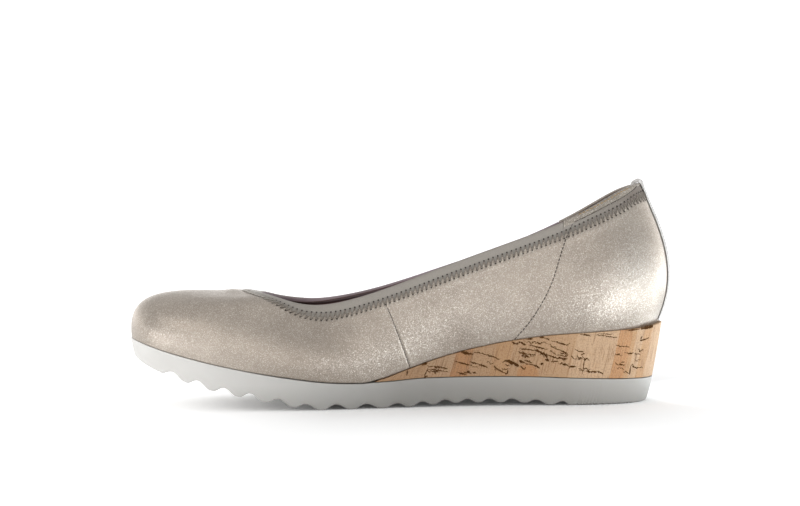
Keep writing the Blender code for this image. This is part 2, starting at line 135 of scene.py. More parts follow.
# Heights along the length
Height = namedtuple("Height", "x z")
SEAT = rows_of(
    Height,
    (-126.0, 32.6), (-104.0, 26.1), (-79.0, 20.1), (-51.5, 15.0), (-30.0, 12.3), (-18.0, 11.9),
    (-10.0, 13.4), (3.0, 17.9), (20.0, 23.6), (37.0, 27.8), (54.5, 30.9), (70.0, 32.8), (90.0, 34.0),
    (110.0, 35.2), (122.0, 36.8),
)
UNDER_WEDGE = rows_of(
    Height,
    (-18.0, 12.0), (-5.0, 12.6), (11.0, 13.7), (30.0, 13.9), (58.0, 13.6), (80.0, 12.8), (119.0, 11.4),
)
TREAD = rows_of(
    Height,
    (-126.0, 24.6), (-115.0, 19.0), (-108.5, 16.5), (-86.0, 9.3), (-61.5, 4.0), (-47.0, 1.2),
    (-40.0, 0.0), (-4.0, 0.0), (26.0, 1.6), (54.0, 1.4), (74.0, 0.0), (119.0, 0.0),
)

# Notches across the tread, with lugs between them like a wave
Notch = namedtuple("Notch", "x depth")
NOTCHES = rows_of(
    Notch,
    (-104.5, 2.5), (-92.8, 2.7), (-80.5, 2.7), (-68.6, 2.7), (-55.6, 2.6), (-43.0, 2.5), (-29.6, 2.4),
    (-15.7, 2.2), (-1.6, 2.0), (9.6, 1.8), (20.0, 1.7), (30.3, 1.7), (40.4, 1.7), (50.6, 1.7),
    (62.0, 1.7), (74.0, 1.8),
)

# How far the sole's edges stand outside the foot of the upper
EdgeRow = namedtuple("EdgeRow", "x wedge_top sole_top tread")
SOLE_EDGES = rows_of(
    EdgeRow,
    (-126.0, 0.3, 0.3, -1.6), (-60.0, 0.4, 0.5, -0.8), (0.0, 0.6, 0.5, -0.8), (60.0, 0.8, 0.2, -1.6),
    (100.0, 1.1, -0.6, -3.4), (119.2, 2.8, -1.8, -4.9),
)

# Seams on the inner side, from the foot of the wall up: share of the wall's height, and place on the girth
SeamPoint = namedtuple("SeamPoint", "share place")
WAIST_SEAM = rows_of(
    SeamPoint,
    (0.0, 146.0), (0.24, 142.5), (0.62, 136.8), (0.85, 132.8),
)
COUNTER_SEAM = rows_of(
    SeamPoint,
    (0.0, 194.0), (0.2, 203.0), (0.45, 211.0), (0.76, 217.2), (0.86, 219.6), (0.945, 222.8),
)

# Soft troughs (below zero) and ridges in the leather: centre along the girth and below the topline, half
# length, half width, turn against the girth in degrees, and height
Crease = namedtuple("Crease", "place below length width turn height")
CREASES = rows_of(
    Crease,
    (0.0, 0.0, 45.0, 5.0, 0.0, -0.6), (0.0, 7.0, 12.0, 4.0, 0.0, -0.5),
    (3.0, 13.0, 16.0, 3.0, 0.0, 0.55), (0.0, 22.0, 46.0, 9.0, 0.0, -0.6),
    (0.0, 42.0, 60.0, 16.0, 0.0, -0.35), (0.0, 58.0, 40.0, 9.0, 0.0, -0.3),
    (112.0, 22.0, 16.0, 4.5, 24.0, -0.3), (126.0, 30.0, 18.0, 5.0, 20.0, 0.3),
    (232.0, 20.0, 16.0, 8.0, -25.0, -0.5), (274.8, 42.0, 14.0, 20.0, 0.0, 0.6),
)

# Slices of the cork veneer along the near side: where one starts at half height, and its tone
Slice = namedtuple("Slice", "x tone")
CORK_SLICES = rows_of(
    Slice,
    (-14.0, "tan"), (11.5, "pale"), (23.5, "rust"), (32.0, "tan"), (42.0, "honey"), (50.0, "tan"),
    (78.0, "pale"), (97.5, "rust"), (103.5, "honey"), (106.0, "pale"), (109.5, "honey"),
    (113.5, "pale"),
)
SLICE_LEAN = 0.05  # how far a slice's edge leans to the heel for each millimetre of height
SLICE_MIDDLE_Z = 22.0

# Main fissures of the cork on the near side: width, and the x and z of the points they pass
Fissure = namedtuple("Fissure", "width path")
FISSURES = rows_of(
    Fissure,
    (0.6, ((3, 17.5), (2.5, 15))), (1.0, ((9.5, 20), (12, 20.5))), (0.9, ((10.5, 14), (12, 14.5))),
    (0.5, ((12, 19), (17, 18.5), (21.5, 17.5))), (0.5, ((12, 17.5), (17, 17), (21.5, 16))),
    (0.4, ((12.5, 18.5), (10.5, 14.5))), (1.0, ((27.5, 25.5), (30.5, 24.5), (33, 24))),
    (0.5, ((33.5, 25), (38.5, 24), (43, 22.5), (45, 21.5))),
    (0.5, ((24.5, 21), (28, 20), (32, 19), (35, 18))), (0.6, ((32, 20.5), (35.5, 19.5), (39.5, 18))),
    (1.0, ((30.5, 16.5), (31, 15.5))), (0.8, ((33, 15.5), (34, 15.5))), (0.5, ((25.5, 16), (30, 14.5))),
    (0.6, ((42.5, 18.5), (45, 16.5), (47, 15.5), (48.5, 15), (49, 16.5))),
    (1.1, ((46.5, 20), (48, 21), (51, 20), (53.5, 18.5))),
    (0.8, ((51, 29.5), (53, 28.5), (54.5, 29.5), (57, 28))), (0.6, ((57.5, 31.5), (60.5, 31))),
    (0.6, ((63.5, 32), (68, 30.5))), (0.5, ((68.5, 30), (73, 29), (76, 28), (77.5, 29))),
    (0.5, ((55.5, 26.5), (61.5, 25.5), (67, 23))), (0.5, ((58.5, 28), (63, 27), (67, 26))),
    (0.5, ((54, 24.5), (60.5, 23.5))), (0.5, ((70, 26.5), (73, 25.5), (76.5, 24))),
    (0.6, ((67, 23.5), (71.5, 22), (76, 21.5))), (0.4, ((71.5, 23.5), (76, 22.5))),
    (0.7, ((66.5, 24), (67, 21))), (1.0, ((66, 21.5), (67.5, 21))), (0.9, ((54, 21), (56.5, 20))),
    (1.0, ((50, 20.5), (52, 19.5), (54, 18.5))), (0.5, ((54.5, 18.5), (56.5, 17), (57, 18))),
    (0.6, ((57, 19.5), (60, 19), (63.5, 17.5))), (0.7, ((64, 19.5), (65, 19.5))),
    (0.4, ((69, 20.5), (72, 20.5))), (0.7, ((76.5, 18), (80, 18))),
    (0.4, ((78, 23), (79.5, 21.5), (82, 21.5), (82, 22.5))), (0.4, ((79.5, 26), (82, 25), (84, 25))),
    (0.4, ((82.5, 23.5), (84, 24))), (0.6, ((82, 33), (84.5, 32.5), (87, 32))),
    (0.5, ((89.5, 32.5), (93, 32), (99, 31))), (0.3, ((90.5, 33), (97.5, 32.5))),
    (0.8, ((84.5, 16), (87, 15.5), (90, 15.5), (92.5, 14.5))), (0.3, ((84, 22), (83, 14.5))),
    (0.4, ((98.5, 27.5), (101, 27), (105, 26.5))), (0.5, ((102.5, 24), (104.5, 23.5), (107, 23.5))),
    (0.6, ((110, 29), (112, 29.5), (114.5, 30))), (0.5, ((110, 29), (111, 31))),
    (0.3, ((108, 23.5), (108, 21))), (0.6, ((105.5, 17.5), (105, 13.5))),
    (0.5, ((106, 17.5), (108.5, 16.5), (111.5, 16.5))), (0.4, ((101, 19.5), (102.5, 19.5))),
    # The last two rows are no fissures but a dark line along the joint under the heel's leather, partly a
    # glue line and partly painted shade under its overhang.
    (0.5, ((104, 34.6), (110, 35.2))), (1.2, ((110.5, 35.2), (113.5, 35.6), (116.5, 36))),
)

# Patches where small wavering cracks lie between them, and how many
CrackPatch = namedtuple("CrackPatch", "x_start x_end z_low z_high count")
CRACK_PATCHES = rows_of(
    CrackPatch,
    (0.0, 24.0, 14.5, 19.0, 3), (28.0, 50.0, 15.5, 21.0, 6), (53.0, 64.0, 20.0, 30.0, 18),
    (64.0, 75.0, 19.0, 30.0, 10), (77.0, 86.0, 15.0, 27.0, 6), (97.0, 112.0, 14.5, 30.0, 9),
)
CRACK_SEED = 7
FAR_SIDE_SHIFT = 4.0  # the outer side shows the same kind of fissures, further along

# Finer sizes of the looks
COLUMNS_PER_ZIGZAG = 6  # columns of the leather's mesh
EDGE_ROWS = 18  # rows of it close together below the topline
EDGE_DEPTH = 12.5
WALL_ROWS = 36  # rows of it further down
SEAM_ROOM = 2.5
TUCK_ROWS = (0.0, 0.06, 0.15, 0.25, 0.4, 0.9)  # heights above the foot, where the leather turns under
# Along the shoe: radius of the leather's turn at its foot, and how far it comes closer to the sole than the
# solids do
TUCKS = ((-130.0, 0.35), (-75.0, 0.35), (-50.0, 0.6), (-20.0, 0.6), (15.0, 0.4), (65.0, 0.25), (100.0, 0.12))
FOOT_DROPS = (
    (-130.0, 0.26),
    (-75.0, 0.26),
    (-50.0, 0.12),
    (-20.0, 0.12),
    (15.0, 0.22),
    (65.0, 0.28),
    (100.0, 0.29),
)
LEATHER_SKIN = 1.15  # the rest of the wall's thickness is lining
LINING_STEP = 2.2
LINING_ROWS = 26
LINING_TOP = 0.12  # how far below the topline the lining ends
LINING_ROLL = 0.3  # how much thicker it is where it is rolled over at the topline
LINING_ROLL_DEPTH = 1.6
TAPE_SKIN = 0.3  # thickness of the folded elastic
TAPE_INSIDE = 0.7  # how far it reaches down inside the shoe
SCALLOP = 0.7  # how far its lower edge is pulled down at each needle hole
# The collar's dark and ochre stitches: distance from the heel's back, and below the topline
COLLAR_LINE = ((4.0, 0.4), (10.0, 0.9), (17.0, 2.6), (26.0, 3.6), (43.0, 3.1), (52.6, 2.8), (58.0, 2.8))
OCHRE_LINE = ((18.0, 0.6), (32.0, 1.0), (43.0, 0.6), (50.0, 0.3))

# How much deeper the zigzag lies than along the sides, by the distance from the heel's back
ZigzagDrop = namedtuple("ZigzagDrop", "far top foot")
ZIGZAG_DROPS = rows_of(
    ZigzagDrop,
    (0.0, -0.8, 0.8), (12.0, -0.4, 1.0), (28.0, 1.6, 2.4), (45.0, 0.6, 1.3), (65.0, 0.2, 0.4),
    (90.0, 0.0, 0.0), (145.0, 0.1, 0.1), (180.0, 0.4, 1.3), (200.0, 1.4, 1.8), (280.0, 1.4, 1.8),
)
CURVE_STEPS = 60
OUTLINE_STEPS = 1800
FINE_COUNT = 6000
LINE_STEP = 0.05
HALF_TURN = np.pi
UPWARDS = (0.0, 0.0, 1.0)

# Slabs of the sole
TIP_SHARE = 0.1  # share of a slab's length at each round end
TIP_STATIONS = 40
PLACE_ROUNDS = 3  # rounds it takes to find a place along a slab's side
RIM_STEPS = 6
RIM_ROOM = 1.05  # a slab is at least this much higher than its two rims
HALF_WAVE = 0.5  # the tread's wave ends with half a wave at the toe and at the heel
RIB_START_X = 80.0
RIB_END_X = 106.0
RIB_PITCH = 1.45
RIB_DEPTH = 0.55
RIB_STEP = 0.18
SOLE_STEP = 0.6
SOLE_RIMS = (0.3, 0.8)  # radius of the upper and of the lower rim
SOLE_LEVELS = 8
SOLE_SWELL = 0.25
WEDGE_STEP_SHARE = 0.003
WEDGE_RIMS = (0.35, 0.25)
WEDGE_LEVELS = 14
WEDGE_SWELL = 0.1
SOCK_STEP_SHARE = 0.01
SOCK_RIMS = (0.8, 0.2)
SOCK_LEVELS = 4
SOCK_COLUMNS = 12
SOCK_CUP = 0.9  # how far the sock is hollowed
SOCK_CUP_POWER = 4

# Fissures of the cork
FISSURE_ROOM = 0.4  # least distance of a fissure from the edges of the cork
FISSURE_STEPS = 25
FISSURE_RAGGED = 0.14  # how far a fissure strays up and down from point to point
FISSURE_TIP = 0.35  # share of its width at its ends
FISSURE_ENDS = (0.04, 0.96)
FISSURE_BLUNT = 0.5  # power of its taper
FISSURE_SWELL = 0.35  # how much wider and narrower it gets on its way
FISSURE_SWELL_TURN = 7.0
FISSURE_SWELL_SHIFT = 3
FISSURE_JITTER = (-0.5, 0.6)  # and from point to point
FISSURE_HALF_HEIGHT = 0.05
CRACK_SLOPE = -0.25
CRACK_TURNS = 5
CRACK_STEPS = (0.3, 0.9)
CRACK_WAVER = 0.4
CRACK_WIDTHS = (0.25, 0.45)

# Relief of the leather and of its lining
Ripple = namedtuple("Ripple", "turns down")  # waves round the girth, and millimetres down the wall
BROAD_RIPPLES = (Ripple(11, 9.0), Ripple(3, 13.0))
BROAD_RIPPLE_HEIGHT = 0.07
FINE_RIPPLE = Ripple(23, -6.0)
FINE_RIPPLE_HEIGHT = 0.03
RIPPLE_FOOT = 4.0  # the ripples fade out this far above the foot
PUCKER_HEIGHT = 0.16  # the leather is pulled up and down at the needle holes
PUCKER_WIDTH = 0.8
BULGE_HEIGHT = 0.12  # and swells a little below them
BULGE_BELOW = 1.6
BULGE_WIDTH = 1.2
FOOT_DROP_HEIGHT = 6.0  # the leather comes closer to the sole up to this height
INNER_ROWS = 4  # rows of the leather's inner face
SEAM_POINTS = 300
RIDGE_OFF = 2.2  # a seam's ridge: its distance from the trough and its width, in widths of the trough
RIDGE_WIDTH = 1.3
Seam = namedtuple("Seam", "rows mirror depth_share ridge")
SEAMS = (
    Seam(WAIST_SEAM, False, 1.0, 0.13),
    Seam(COUNTER_SEAM, False, 0.45, 0.0),
    Seam(COUNTER_SEAM, True, 0.45, 0.0),
)
LINING_GAP = 0.1
LINING_RIPPLE_HEIGHT = 0.07
LINING_RIPPLE = (7.0, 5.0, 11.0)  # along the girth, down the wall, and how it fades

# Tapes along the topline. Their paths are points of (out, up) from the topline.
TAPE_STEP = 0.6
TAPE_SHORT = 1.1  # how far the elastic ends above the lower needle holes
TAPE_FOOT_OUT = 0.08
FoldPoint = namedtuple("FoldPoint", "back reach_share up")  # back is measured from the tape's proud face
TAPE_FOLD = rows_of(
    FoldPoint,
    (0.12, 1.0, 0.3), (0.04, 0.7, 0.0), (0.0, 0.4, 0.0), (0.0, 0.0, -1.0), (0.14, 0.0, -0.45),
)
CREST_BACK = 0.5
CREST_DROP = 0.12
ELASTIC_END = (-0.4, -0.04)
ROLL_FACE = -LEATHER - LINING_ROLL
ROLL_PATH = (
    (0.0, -LINING_TOP),
    (-0.4, 0.0),
    (-LEATHER, 0.0),
    (ROLL_FACE + 0.1, -0.25),
    (ROLL_FACE, -LINING_ROLL_DEPTH),
)
HEEL_ELASTIC_LAP = 0.5  # how far the heel's elastic runs on past both ends of the collar
# Its path: out, share of its reach down the wall, and up
HEEL_ELASTIC = ((0.08, 1.0, 0.0), (0.2, 1.0, 0.3), (0.3, 0.6, 0.0), (0.3, 0.3, 0.0), (0.3, 0.1, 0.0))
COLLAR_MARGIN = 0.45  # leather of the collar below its dark stitches
COLLAR_TYPICAL = 3.5  # its usual reach down the wall
COLLAR_PROUD = BAND_PROUD + 0.2
COLLAR_FACE = -LEATHER - BAND_PROUD
COLLAR_INSIDE = (
    (-LEATHER / 2, COLLAR_RISE),
    (COLLAR_FACE + 0.5, COLLAR_RISE - 0.12),
    (COLLAR_FACE + 0.14, -0.3),
    (COLLAR_FACE, -TAPE_INSIDE),
)

# The strap up the heel
STRAP_STANDOFF = 0.3  # between the heel's leather and the strap
STRAP_SKIN = 0.7  # thickness of the strap up the heel
STRAP_EDGE = 0.35  # share of that at its edges
STRAP_EDGE_POWER = 7
STRAP_STEP = 0.7
STRAP_COLUMNS = 25
STRAP_STRAIGHT = 9  # points of its path up the heel
STRAP_STRAIGHT_END = 2.5 * BAND_HEIGHT
FOLD_EXTRA = 1.1  # how much thicker it is where it folds over the collar
FOLD_LENGTH = 5.0
STRAP_FACE = BAND_PROUD + GAP
STRAP_BACK = -LEATHER - BAND_PROUD - GAP
STRAP_CREST = COLLAR_RISE + GAP
STRAP_OVER = (
    (STRAP_FACE, -1.5 * BAND_HEIGHT),
    (STRAP_FACE, -0.6),
    (STRAP_FACE - 0.3, STRAP_CREST - 0.2),
    (STRAP_FACE - 0.8, STRAP_CREST),
    (STRAP_BACK + 0.6, STRAP_CREST),
    (STRAP_BACK, STRAP_CREST - 0.3),
    (STRAP_BACK, -2.0),
    (STRAP_BACK, -STRAP_INSIDE),
)

# Stitches
THREAD_SIDES = 6
STITCH_SHAPE = ((0.0, -0.15), (0.2, 0.12), (0.5, 0.2), (0.8, 0.12), (1.0, -0.15))  # share along it, and lift
STITCH_ARCH = 3  # the lifts are shares of this many half widths
FIRST_STITCH = 0.3
ZIGZAG_LIFTS = {"zigzag_thread_outside": 0.28, "zigzag_thread_inside": -LEATHER - 0.25}
HOLE_SIDES = 8
HOLE_OFF = 0.1  # how far a needle hole lies beyond the end of its stitch
HOLE_LIFTS = (BAND_PROUD + 0.12, 0.2)  # of the upper ones on the elastic and of the lower ones
HOLE_CUP = 0.06
HOLE_TAIL = 0.5
COUNTER_STITCH_LIFT = 0.1
COUNTER_BAND = 7.8  # the counter's stitches lie on the elastic as far down as this
COUNTER_HALF = 0.2
COUNTER_BAND_HALF = 0.15
WAIST_PITCH = 1.5
WAIST_STITCH = 1.35
WAIST_LIFT = -0.16
WAIST_HALF = 0.15
COLLAR_HALF = 0.15
OCHRE_LIFT = BAND_PROUD + 0.1
OCHRE_HALF = 0.19

# Looks of the materials. A noise is told by its scale, detail and roughness. A reach is told by the range of
# a value, and after it the shares that this range is spread to. A bump is told by its strength and depth.
MIX_COLOURS = (6, 7)  # inputs of the Mix node for two colours, and the output for the mixed one
MIX_RESULT = 2
NOISE_MIDDLE = (0.3, 0.7)
SUEDE_ROUGHNESS = 0.36
SUEDE_METALLIC = 0.85
COLLAR_METALLIC = 0.3
COLLAR_DARKER = 0.8
SUEDE_CLOUDS = (70.0, 5.0, 0.65)
SUEDE_CLOUD_REACH = (0.38, 0.62)
SUEDE_NAP = (2600.0, 3.0, 0.7)
SUEDE_NAP_GLOSS = (0.25, 0.75, 0.31, 0.43)
SUEDE_BUMP = (0.3, 0.12)
FLECK_SCALE = 4300.0  # flecks of about a quarter of a millimetre
FLECK_MIDDLE = (0.5, 0.5, 0.5)
FLECK_TILT = 0.25
DULL_FLECKS = (0.0, 0.3, 1.0, 0.0)
BRIGHT_FLECKS = (0.72, 1.0, 0.0, 0.55)
# Faint dark patches on the suede, partly smudges and partly painted shade: centre and radius in metres, and
# how dark
SmudgeAndShade = namedtuple("SmudgeAndShade", "place radius share")
SMUDGES_AND_SHADES = rows_of(
    SmudgeAndShade,
    ((0.027, -0.029, 0.03), 0.014, 0.26), ((0.012, -0.032, 0.024), 0.04, 0.16),
    ((-0.036, -0.037, 0.018), 0.04, 0.32), ((0.088, -0.024, 0.071), 0.024, 0.14),
)
ELASTIC_ROUGHNESS = 0.55
ELASTIC_GLOSS = (0.5, 0.65)
ELASTIC_CORDS = (1.0, 2.0)
CORD_STRETCH = (0.6, 5.0, 1.0)
CORD_SHARES = (0.0, 0.3)
CORD_TONE = 1.25
ELASTIC_FUZZ = (2200.0, 2.0)
FUZZ_REACH = (0.35, 0.65, 0.0, 0.25)
FUZZ_TONE = 0.7
# The elastic is darker where it is sewn down, partly for the thread and partly painted shade
SEWN_DOWN_AND_SHADE_REACH = (0.86, 1.02, 0.0, 0.55)  # as shares of the distance down to the upper needle holes
SEWN_DOWN_AND_SHADE_TONE = 0.6
ELASTIC_BUMP = (0.2, 0.1)
THROAT_FRONT = 26.0  # how far round from the middle of the throat the elastic bears a painted highlight instead of its darker sewn-down band
THROAT_FRONT_REACH = (THROAT_FRONT / 3, THROAT_FRONT)
THROAT_HIGHLIGHT_SHARES = (0.8, 0.0)
THROAT_HIGHLIGHT_COLOUR = (0.5, 0.47, 0.43)
HEEL_PAINTED_SHADE_REACH = (15.0, 52.0, 1.0, 0.0)  # painted shade: the elastic is darkest this near to the heel's back, in the shade below the collar
THREAD_ROUGHNESS = 0.6
THREAD_FIBRE = (5000.0, 2.0)
THREAD_TONE = 0.55
THREAD_BUMP = (0.3, 0.08)
THREAD_HIGHLIGHT_REACH = (-0.069, -0.056, 0.9, 0.0)  # in metres; further back the thread no longer bears the painted highlight of the throat's front
LINING_ROUGHNESS = 0.6
SOCK_ROUGHNESS = 0.55
LEATHER_CLOUDS = (70.0, 3.0)
LEATHER_CLOUD_REACH = (0.35, 0.65)
LEATHER_GRAIN = 1100.0
LEATHER_PORES = (2600.0, 2.0)
LEATHER_PORE_REACH = (0.4, 0.7, 0.0, 0.2)
LEATHER_TONE = 0.8
LEATHER_GLOSS = (-0.06, 0.08)  # changes of the roughness
LEATHER_BUMP = (0.22, 0.12)
STRAP_ROUGHNESS = 0.7
STRAP_SHINE = 0.15
# Painted shade on the strap up the heel, below its fold and along its middle
STRAP_PAINTED_SHADE_BELOW = (3.0, 9.0)
STRAP_PAINTED_SHADE_ACROSS = (2.2, 3.0, 1.0, 0.0)
STRAP_GRAIN = (900.0, 3.0)
STRAP_GRAIN_REACH = (0.35, 0.65, 0.0, 0.3)
STRAP_BUMP = (0.15, 0.1)
CORK_ROUGHNESS = 0.7
CORK_GLOSS = (0.62, 0.8)
SLICE_EDGES = (0.9, 3.0)
SLICE_EDGE_REACH = (0.0, 1.0, -0.5, 0.5)
FAR_SLICE_SHIFT = 0.012  # the outer side's slices lie this share of the way further along
RAMP_MIDDLE = 0.5
GRAIN_STRETCH = (1.6, 0.12, 1.0)
CORK_GRAIN = (1.0, 3.0, 0.6)
CORK_GRAIN_REACH = (0.32, 0.68, 0.0, 0.25)
LINE_STRETCH = (1.5, 0.07, 1.0)
CORK_LINES = (1.0, 2.0, 0.6)
CORK_LINE_REACH = (0.52, 0.66, 0.0, 0.72)
CORK_LINE_COLOUR = (0.2, 0.1, 0.04)
CORK_PORES = (2.6, 3.0, 0.7)
CORK_PORE_REACH = (0.3, 0.46, 0.45, 0.0)
CORK_PORE_COLOUR = (0.62, 0.47, 0.33)
CORK_PORE_DEPTH = (0.6, 0.75)
CORK_BLOTCHES = (0.35, 3.0, 0.6)
CORK_BLOTCH_REACH = (0.45, 0.7, 0.0, 0.3)
CORK_SPECKS = (1.3, 4.0, 0.75)
CORK_SPECK_REACH = (0.5, 0.72, 0.0, 0.75)
CORK_SPECK_COLOUR = (0.14, 0.06, 0.022)
CORK_BUMP = (0.3, 0.15)
SIDE_ON = (1.0, 0.0, 1.0)  # leaves out how far across the shoe a place lies
RUST_CORNER = (0.058, 0.0, 0.0145)  # middle of a rust-coloured bit at the foot of the cork, in metres
RUST_CORNER_REACH = (0.0042, 0.0056, 0.85, 0.0)
# Painted shade: the cork is darker towards its front, where it turns away from the light
CORK_FRONT_PAINTED_SHADE = (0.56, 0.5, 0.44)
CORK_PAINTED_SHADE_REACH = (0.02, 0.085, 0.75, 0.0)
FISSURE_ROUGHNESS = 0.95
FISSURE_SHINE = 0.05
FISSURE_CRUMB = (2400.0, 3.0)
FISSURE_CRUMB_REACH = (0.45, 0.7)
FISSURE_TONE = 2.2
FISSURE_BUMP = (0.5, 0.15)
RUBBER_ROUGHNESS = 0.55
RUBBER_GLOSS = (0.48, 0.62)
RUBBER_CLOUDS = (35.0, 3.0)
RUBBER_CLOUD_REACH = (0.35, 0.65, 0.0, 0.3)
RUBBER_CLOUD = (0.85, 0.85, 0.84)
RUBBER_SKIN = (3000.0, 2.0)
RUBBER_BUMP = (0.12, 0.08)
# Painted shade: the rubber darkens towards the floor
RUBBER_FLOOR_SHADE = (0.5, 0.49, 0.47)
RUBBER_FLOOR_SHADE_REACH = (0.0, 0.012, 0.55, 0.0)
# Painted light and shade along the sole: pale at the toe, darkest at the waist, lighter again at the heel
TOE_TO_WAIST = (-0.118, 0.0)
WAIST_TO_HEEL = (0.015, 0.115)
FLOOR_ROUGHNESS = 0.9
FLOOR_CLOUDS = (4.0, 2.0)
FLOOR_TONE = 1.03
FLOOR_GLOW = 0.03
# Where the floor glows more: under the toe, behind the heel, in front of the shoe and far behind it
FloorGlow = namedtuple("FloorGlow", "axis start end glow")
FLOOR_GLOWS = rows_of(
    FloorGlow,
    ("X", -0.03, -0.1, 0.27), ("X", 0.1, 0.17, 0.2), ("Y", -0.06, -0.15, 0.13), ("Y", 0.1, 0.6, 0.4),
)

# Floor, camera and lights, in metres
CAMERA_PLACE = (0.0, -1.43, 0.1438)
CAMERA_PITCH = np.radians(2.98)  # down from level
CAMERA_ROLL = np.radians(-0.55)
CAMERA_LENS = 138.24
SENSOR_WIDTH = 36.0
FLOOR_HALF = 6.0
Softbox = namedtuple("Softbox", "name place aim width height power colour")
WARM_WHITE = (1.0, 0.98, 0.95)
PALE_WHITE = (0.95, 0.97, 1.0)
COOL_WHITE = (0.83, 0.93, 1.0)
SOFTBOXES = rows_of(
    Softbox,
    ("front softbox", (0.0, -1.6, 0.4), (0.0, 0.0, 0.03), 1.6, 0.3, 3.65, WARM_WHITE),
    ("left softbox", (-0.7, -0.7, 0.6), (-0.08, 0.0, 0.03), 0.6, 0.4, 1.4, WARM_WHITE),
    ("toe card", (-0.36, -0.2, 0.03), (-0.1, 0.0, 0.01), 0.4, 0.06, 0.3, PALE_WHITE),
    ("heel card", (0.46, -0.37, 0.03), (0.08, 0.0, 0.04), 0.5, 0.1, 1.35, COOL_WHITE),
    ("low card", (0.34, -0.4, 0.015), (0.08, 0.0, 0.05), 0.3, 0.03, 0.15, PALE_WHITE),
    ("middle card", (0.55, 0.0, 0.02), (0.1, 0.0, 0.03), 0.4, 0.08, 0.72, COOL_WHITE),
    ("back card", (0.5, 0.36, 0.02), (0.11, 0.0, 0.04), 0.5, 0.08, 0.5, COOL_WHITE),
    ("ceiling softbox", (0.0, 0.0, 1.4), (0.0, 0.0, 0.0), 1.2, 0.8, 0.45, WARM_WHITE),
)
HEEL_SPOT_PLACE = (0.2, 0.03, 0.5)  # shines straight down on the floor behind the heel
HEEL_SPOT_CONE = np.radians(22.0)
HEEL_SPOT_POWER = 20.0
SKY_BACK = (2.2, 2.2, 2.2)
SKY_FRONT = (0.3, 0.3, 0.3)
SKY_TOP = (0.78, 0.78, 0.78)
SKY_BACK_REACH = (-0.2, 0.5)
SKY_TOP_REACH = (0.16, 0.46)


def unit(arrows):
    """The arrows at length one."""
    return arrows / np.linalg.norm(arrows, axis=-1, keepdims=True)


def run_length(points):
    """Distance of each point from the first one, along the line of points."""
    return np.concatenate([[0.0], np.cumsum(np.linalg.norm(np.diff(points, axis=0), axis=1))])


def hermite(knots, values, slopes, at):
    """Cubic through values with the given slopes at the knots, read at the places at."""
    span = np.clip(np.searchsorted(knots, at, side="right") - 1, 0, len(knots) - 2)
    width = knots[span + 1] - knots[span]
    u = (at - knots[span]) / width
    if values.ndim > 1:
        u, width = u[:, None], width[:, None]
    start = (1 + 2 * u) * (1 - u) ** 2 * values[span] + u * (1 - u) ** 2 * width * slopes[span]
    end = u**2 * (3 - 2 * u) * values[span + 1] + u**2 * (u - 1) * width * slopes[span + 1]
    return start + end


def height_at(rows, x):
    """Height at x of a curve through the rows that never swings past them."""
    knots = np.array([row[0] for row in rows], float)
    values = np.array([row[1] for row in rows], float)
    rise = np.diff(values) / np.diff(knots)
    slopes = np.zeros(len(knots))
    both = rise[:-1] * rise[1:] > 0
    slopes[1:-1][both] = 2 * rise[:-1][both] * rise[1:][both] / (rise[:-1][both] + rise[1:][both])
    slopes[0], slopes[-1] = rise[0], rise[-1]
    return hermite(knots, values, slopes, np.clip(x, knots[0], knots[-1]))


def loop_curve(knots, period, values, at):
    """Smooth closed curve through values at the knots, which repeats after period."""
    count = len(knots)
    steps = np.diff(np.append(knots, knots[0] + period))
    rise = (np.roll(values, -1, axis=0) - values) / steps[:, None]
    system = np.zeros((count, count))
    known = np.zeros_like(values)
    for i in range(count):
        before, after = 1 / steps[i - 1], 1 / steps[i]
        system[i, i - 1] += before
        system[i, i] += 2 * (before + after)
        system[i, (i + 1) % count] += after
        known[i] = 3 * (before * rise[i - 1] + after * rise[i])
    slopes = np.linalg.solve(system, known)
    closed = np.append(knots, knots[0] + period)
    return hermite(closed, np.vstack([values, values[:1]]), np.vstack([slopes, slopes[:1]]), at % period)


SECTION_VALUES = np.array([row[1:] for row in WALL_SECTIONS], float)
SECTION_STEPS = np.linalg.norm(
    np.roll(SECTION_VALUES[:, :2], -1, axis=0) - SECTION_VALUES[:, :2], axis=1
)
SECTION_PLACES = np.concatenate([[0.0], np.cumsum(SECTION_STEPS)[:-1]])
GIRTH = float(SECTION_STEPS.sum())
HEEL_PLACE = float(SECTION_PLACES[[row.place for row in WALL_SECTIONS].index("heel back")])


def sections_at(s):
    """The wall's section values at places s along the girth, a dictionary of columns."""
    values = loop_curve(SECTION_PLACES, GIRTH, SECTION_VALUES, np.asarray(s, float))
    return dict(zip(WallSection._fields[1:], values.T))


def outward(s):
    """Unit normals of the plan outline at the foot of the wall."""
    ahead, behind = sections_at(s + LINE_STEP), sections_at(s - LINE_STEP)
    return unit(np.stack([ahead["foot_y"] - behind["foot_y"], behind["foot_x"] - ahead["foot_x"]], axis=1))


def wall_curves(s):
    """Points of the wall's outer face, one fine curve from foot to topline for each place s."""
    row, normal = sections_at(s), outward(s)
    foot = np.stack([row["foot_x"], row["foot_y"], height_at(SEAT, row["foot_x"])], axis=1)
    top = np.stack([row["top_x"], row["top_y"], row["top_z"]], axis=1)
    across = unit(foot[:, :2] - top[:, :2] + NORMAL_SHARE * normal)
    low = foot + np.column_stack([normal * row["low_out"][:, None], row["low_up"]])
    high = top + np.column_stack([across * row["high_out"][:, None], row["high_up"]])
    t = np.linspace(0, 1, CURVE_STEPS + 1)[None, :, None]
    corners = [p[:, None, :] for p in (foot, low, high, top)]
    weights = ((1 - t) ** 3, 3 * t * (1 - t) ** 2, 3 * t**2 * (1 - t), t**3)
    return sum(weight * corner for weight, corner in zip(weights, corners))


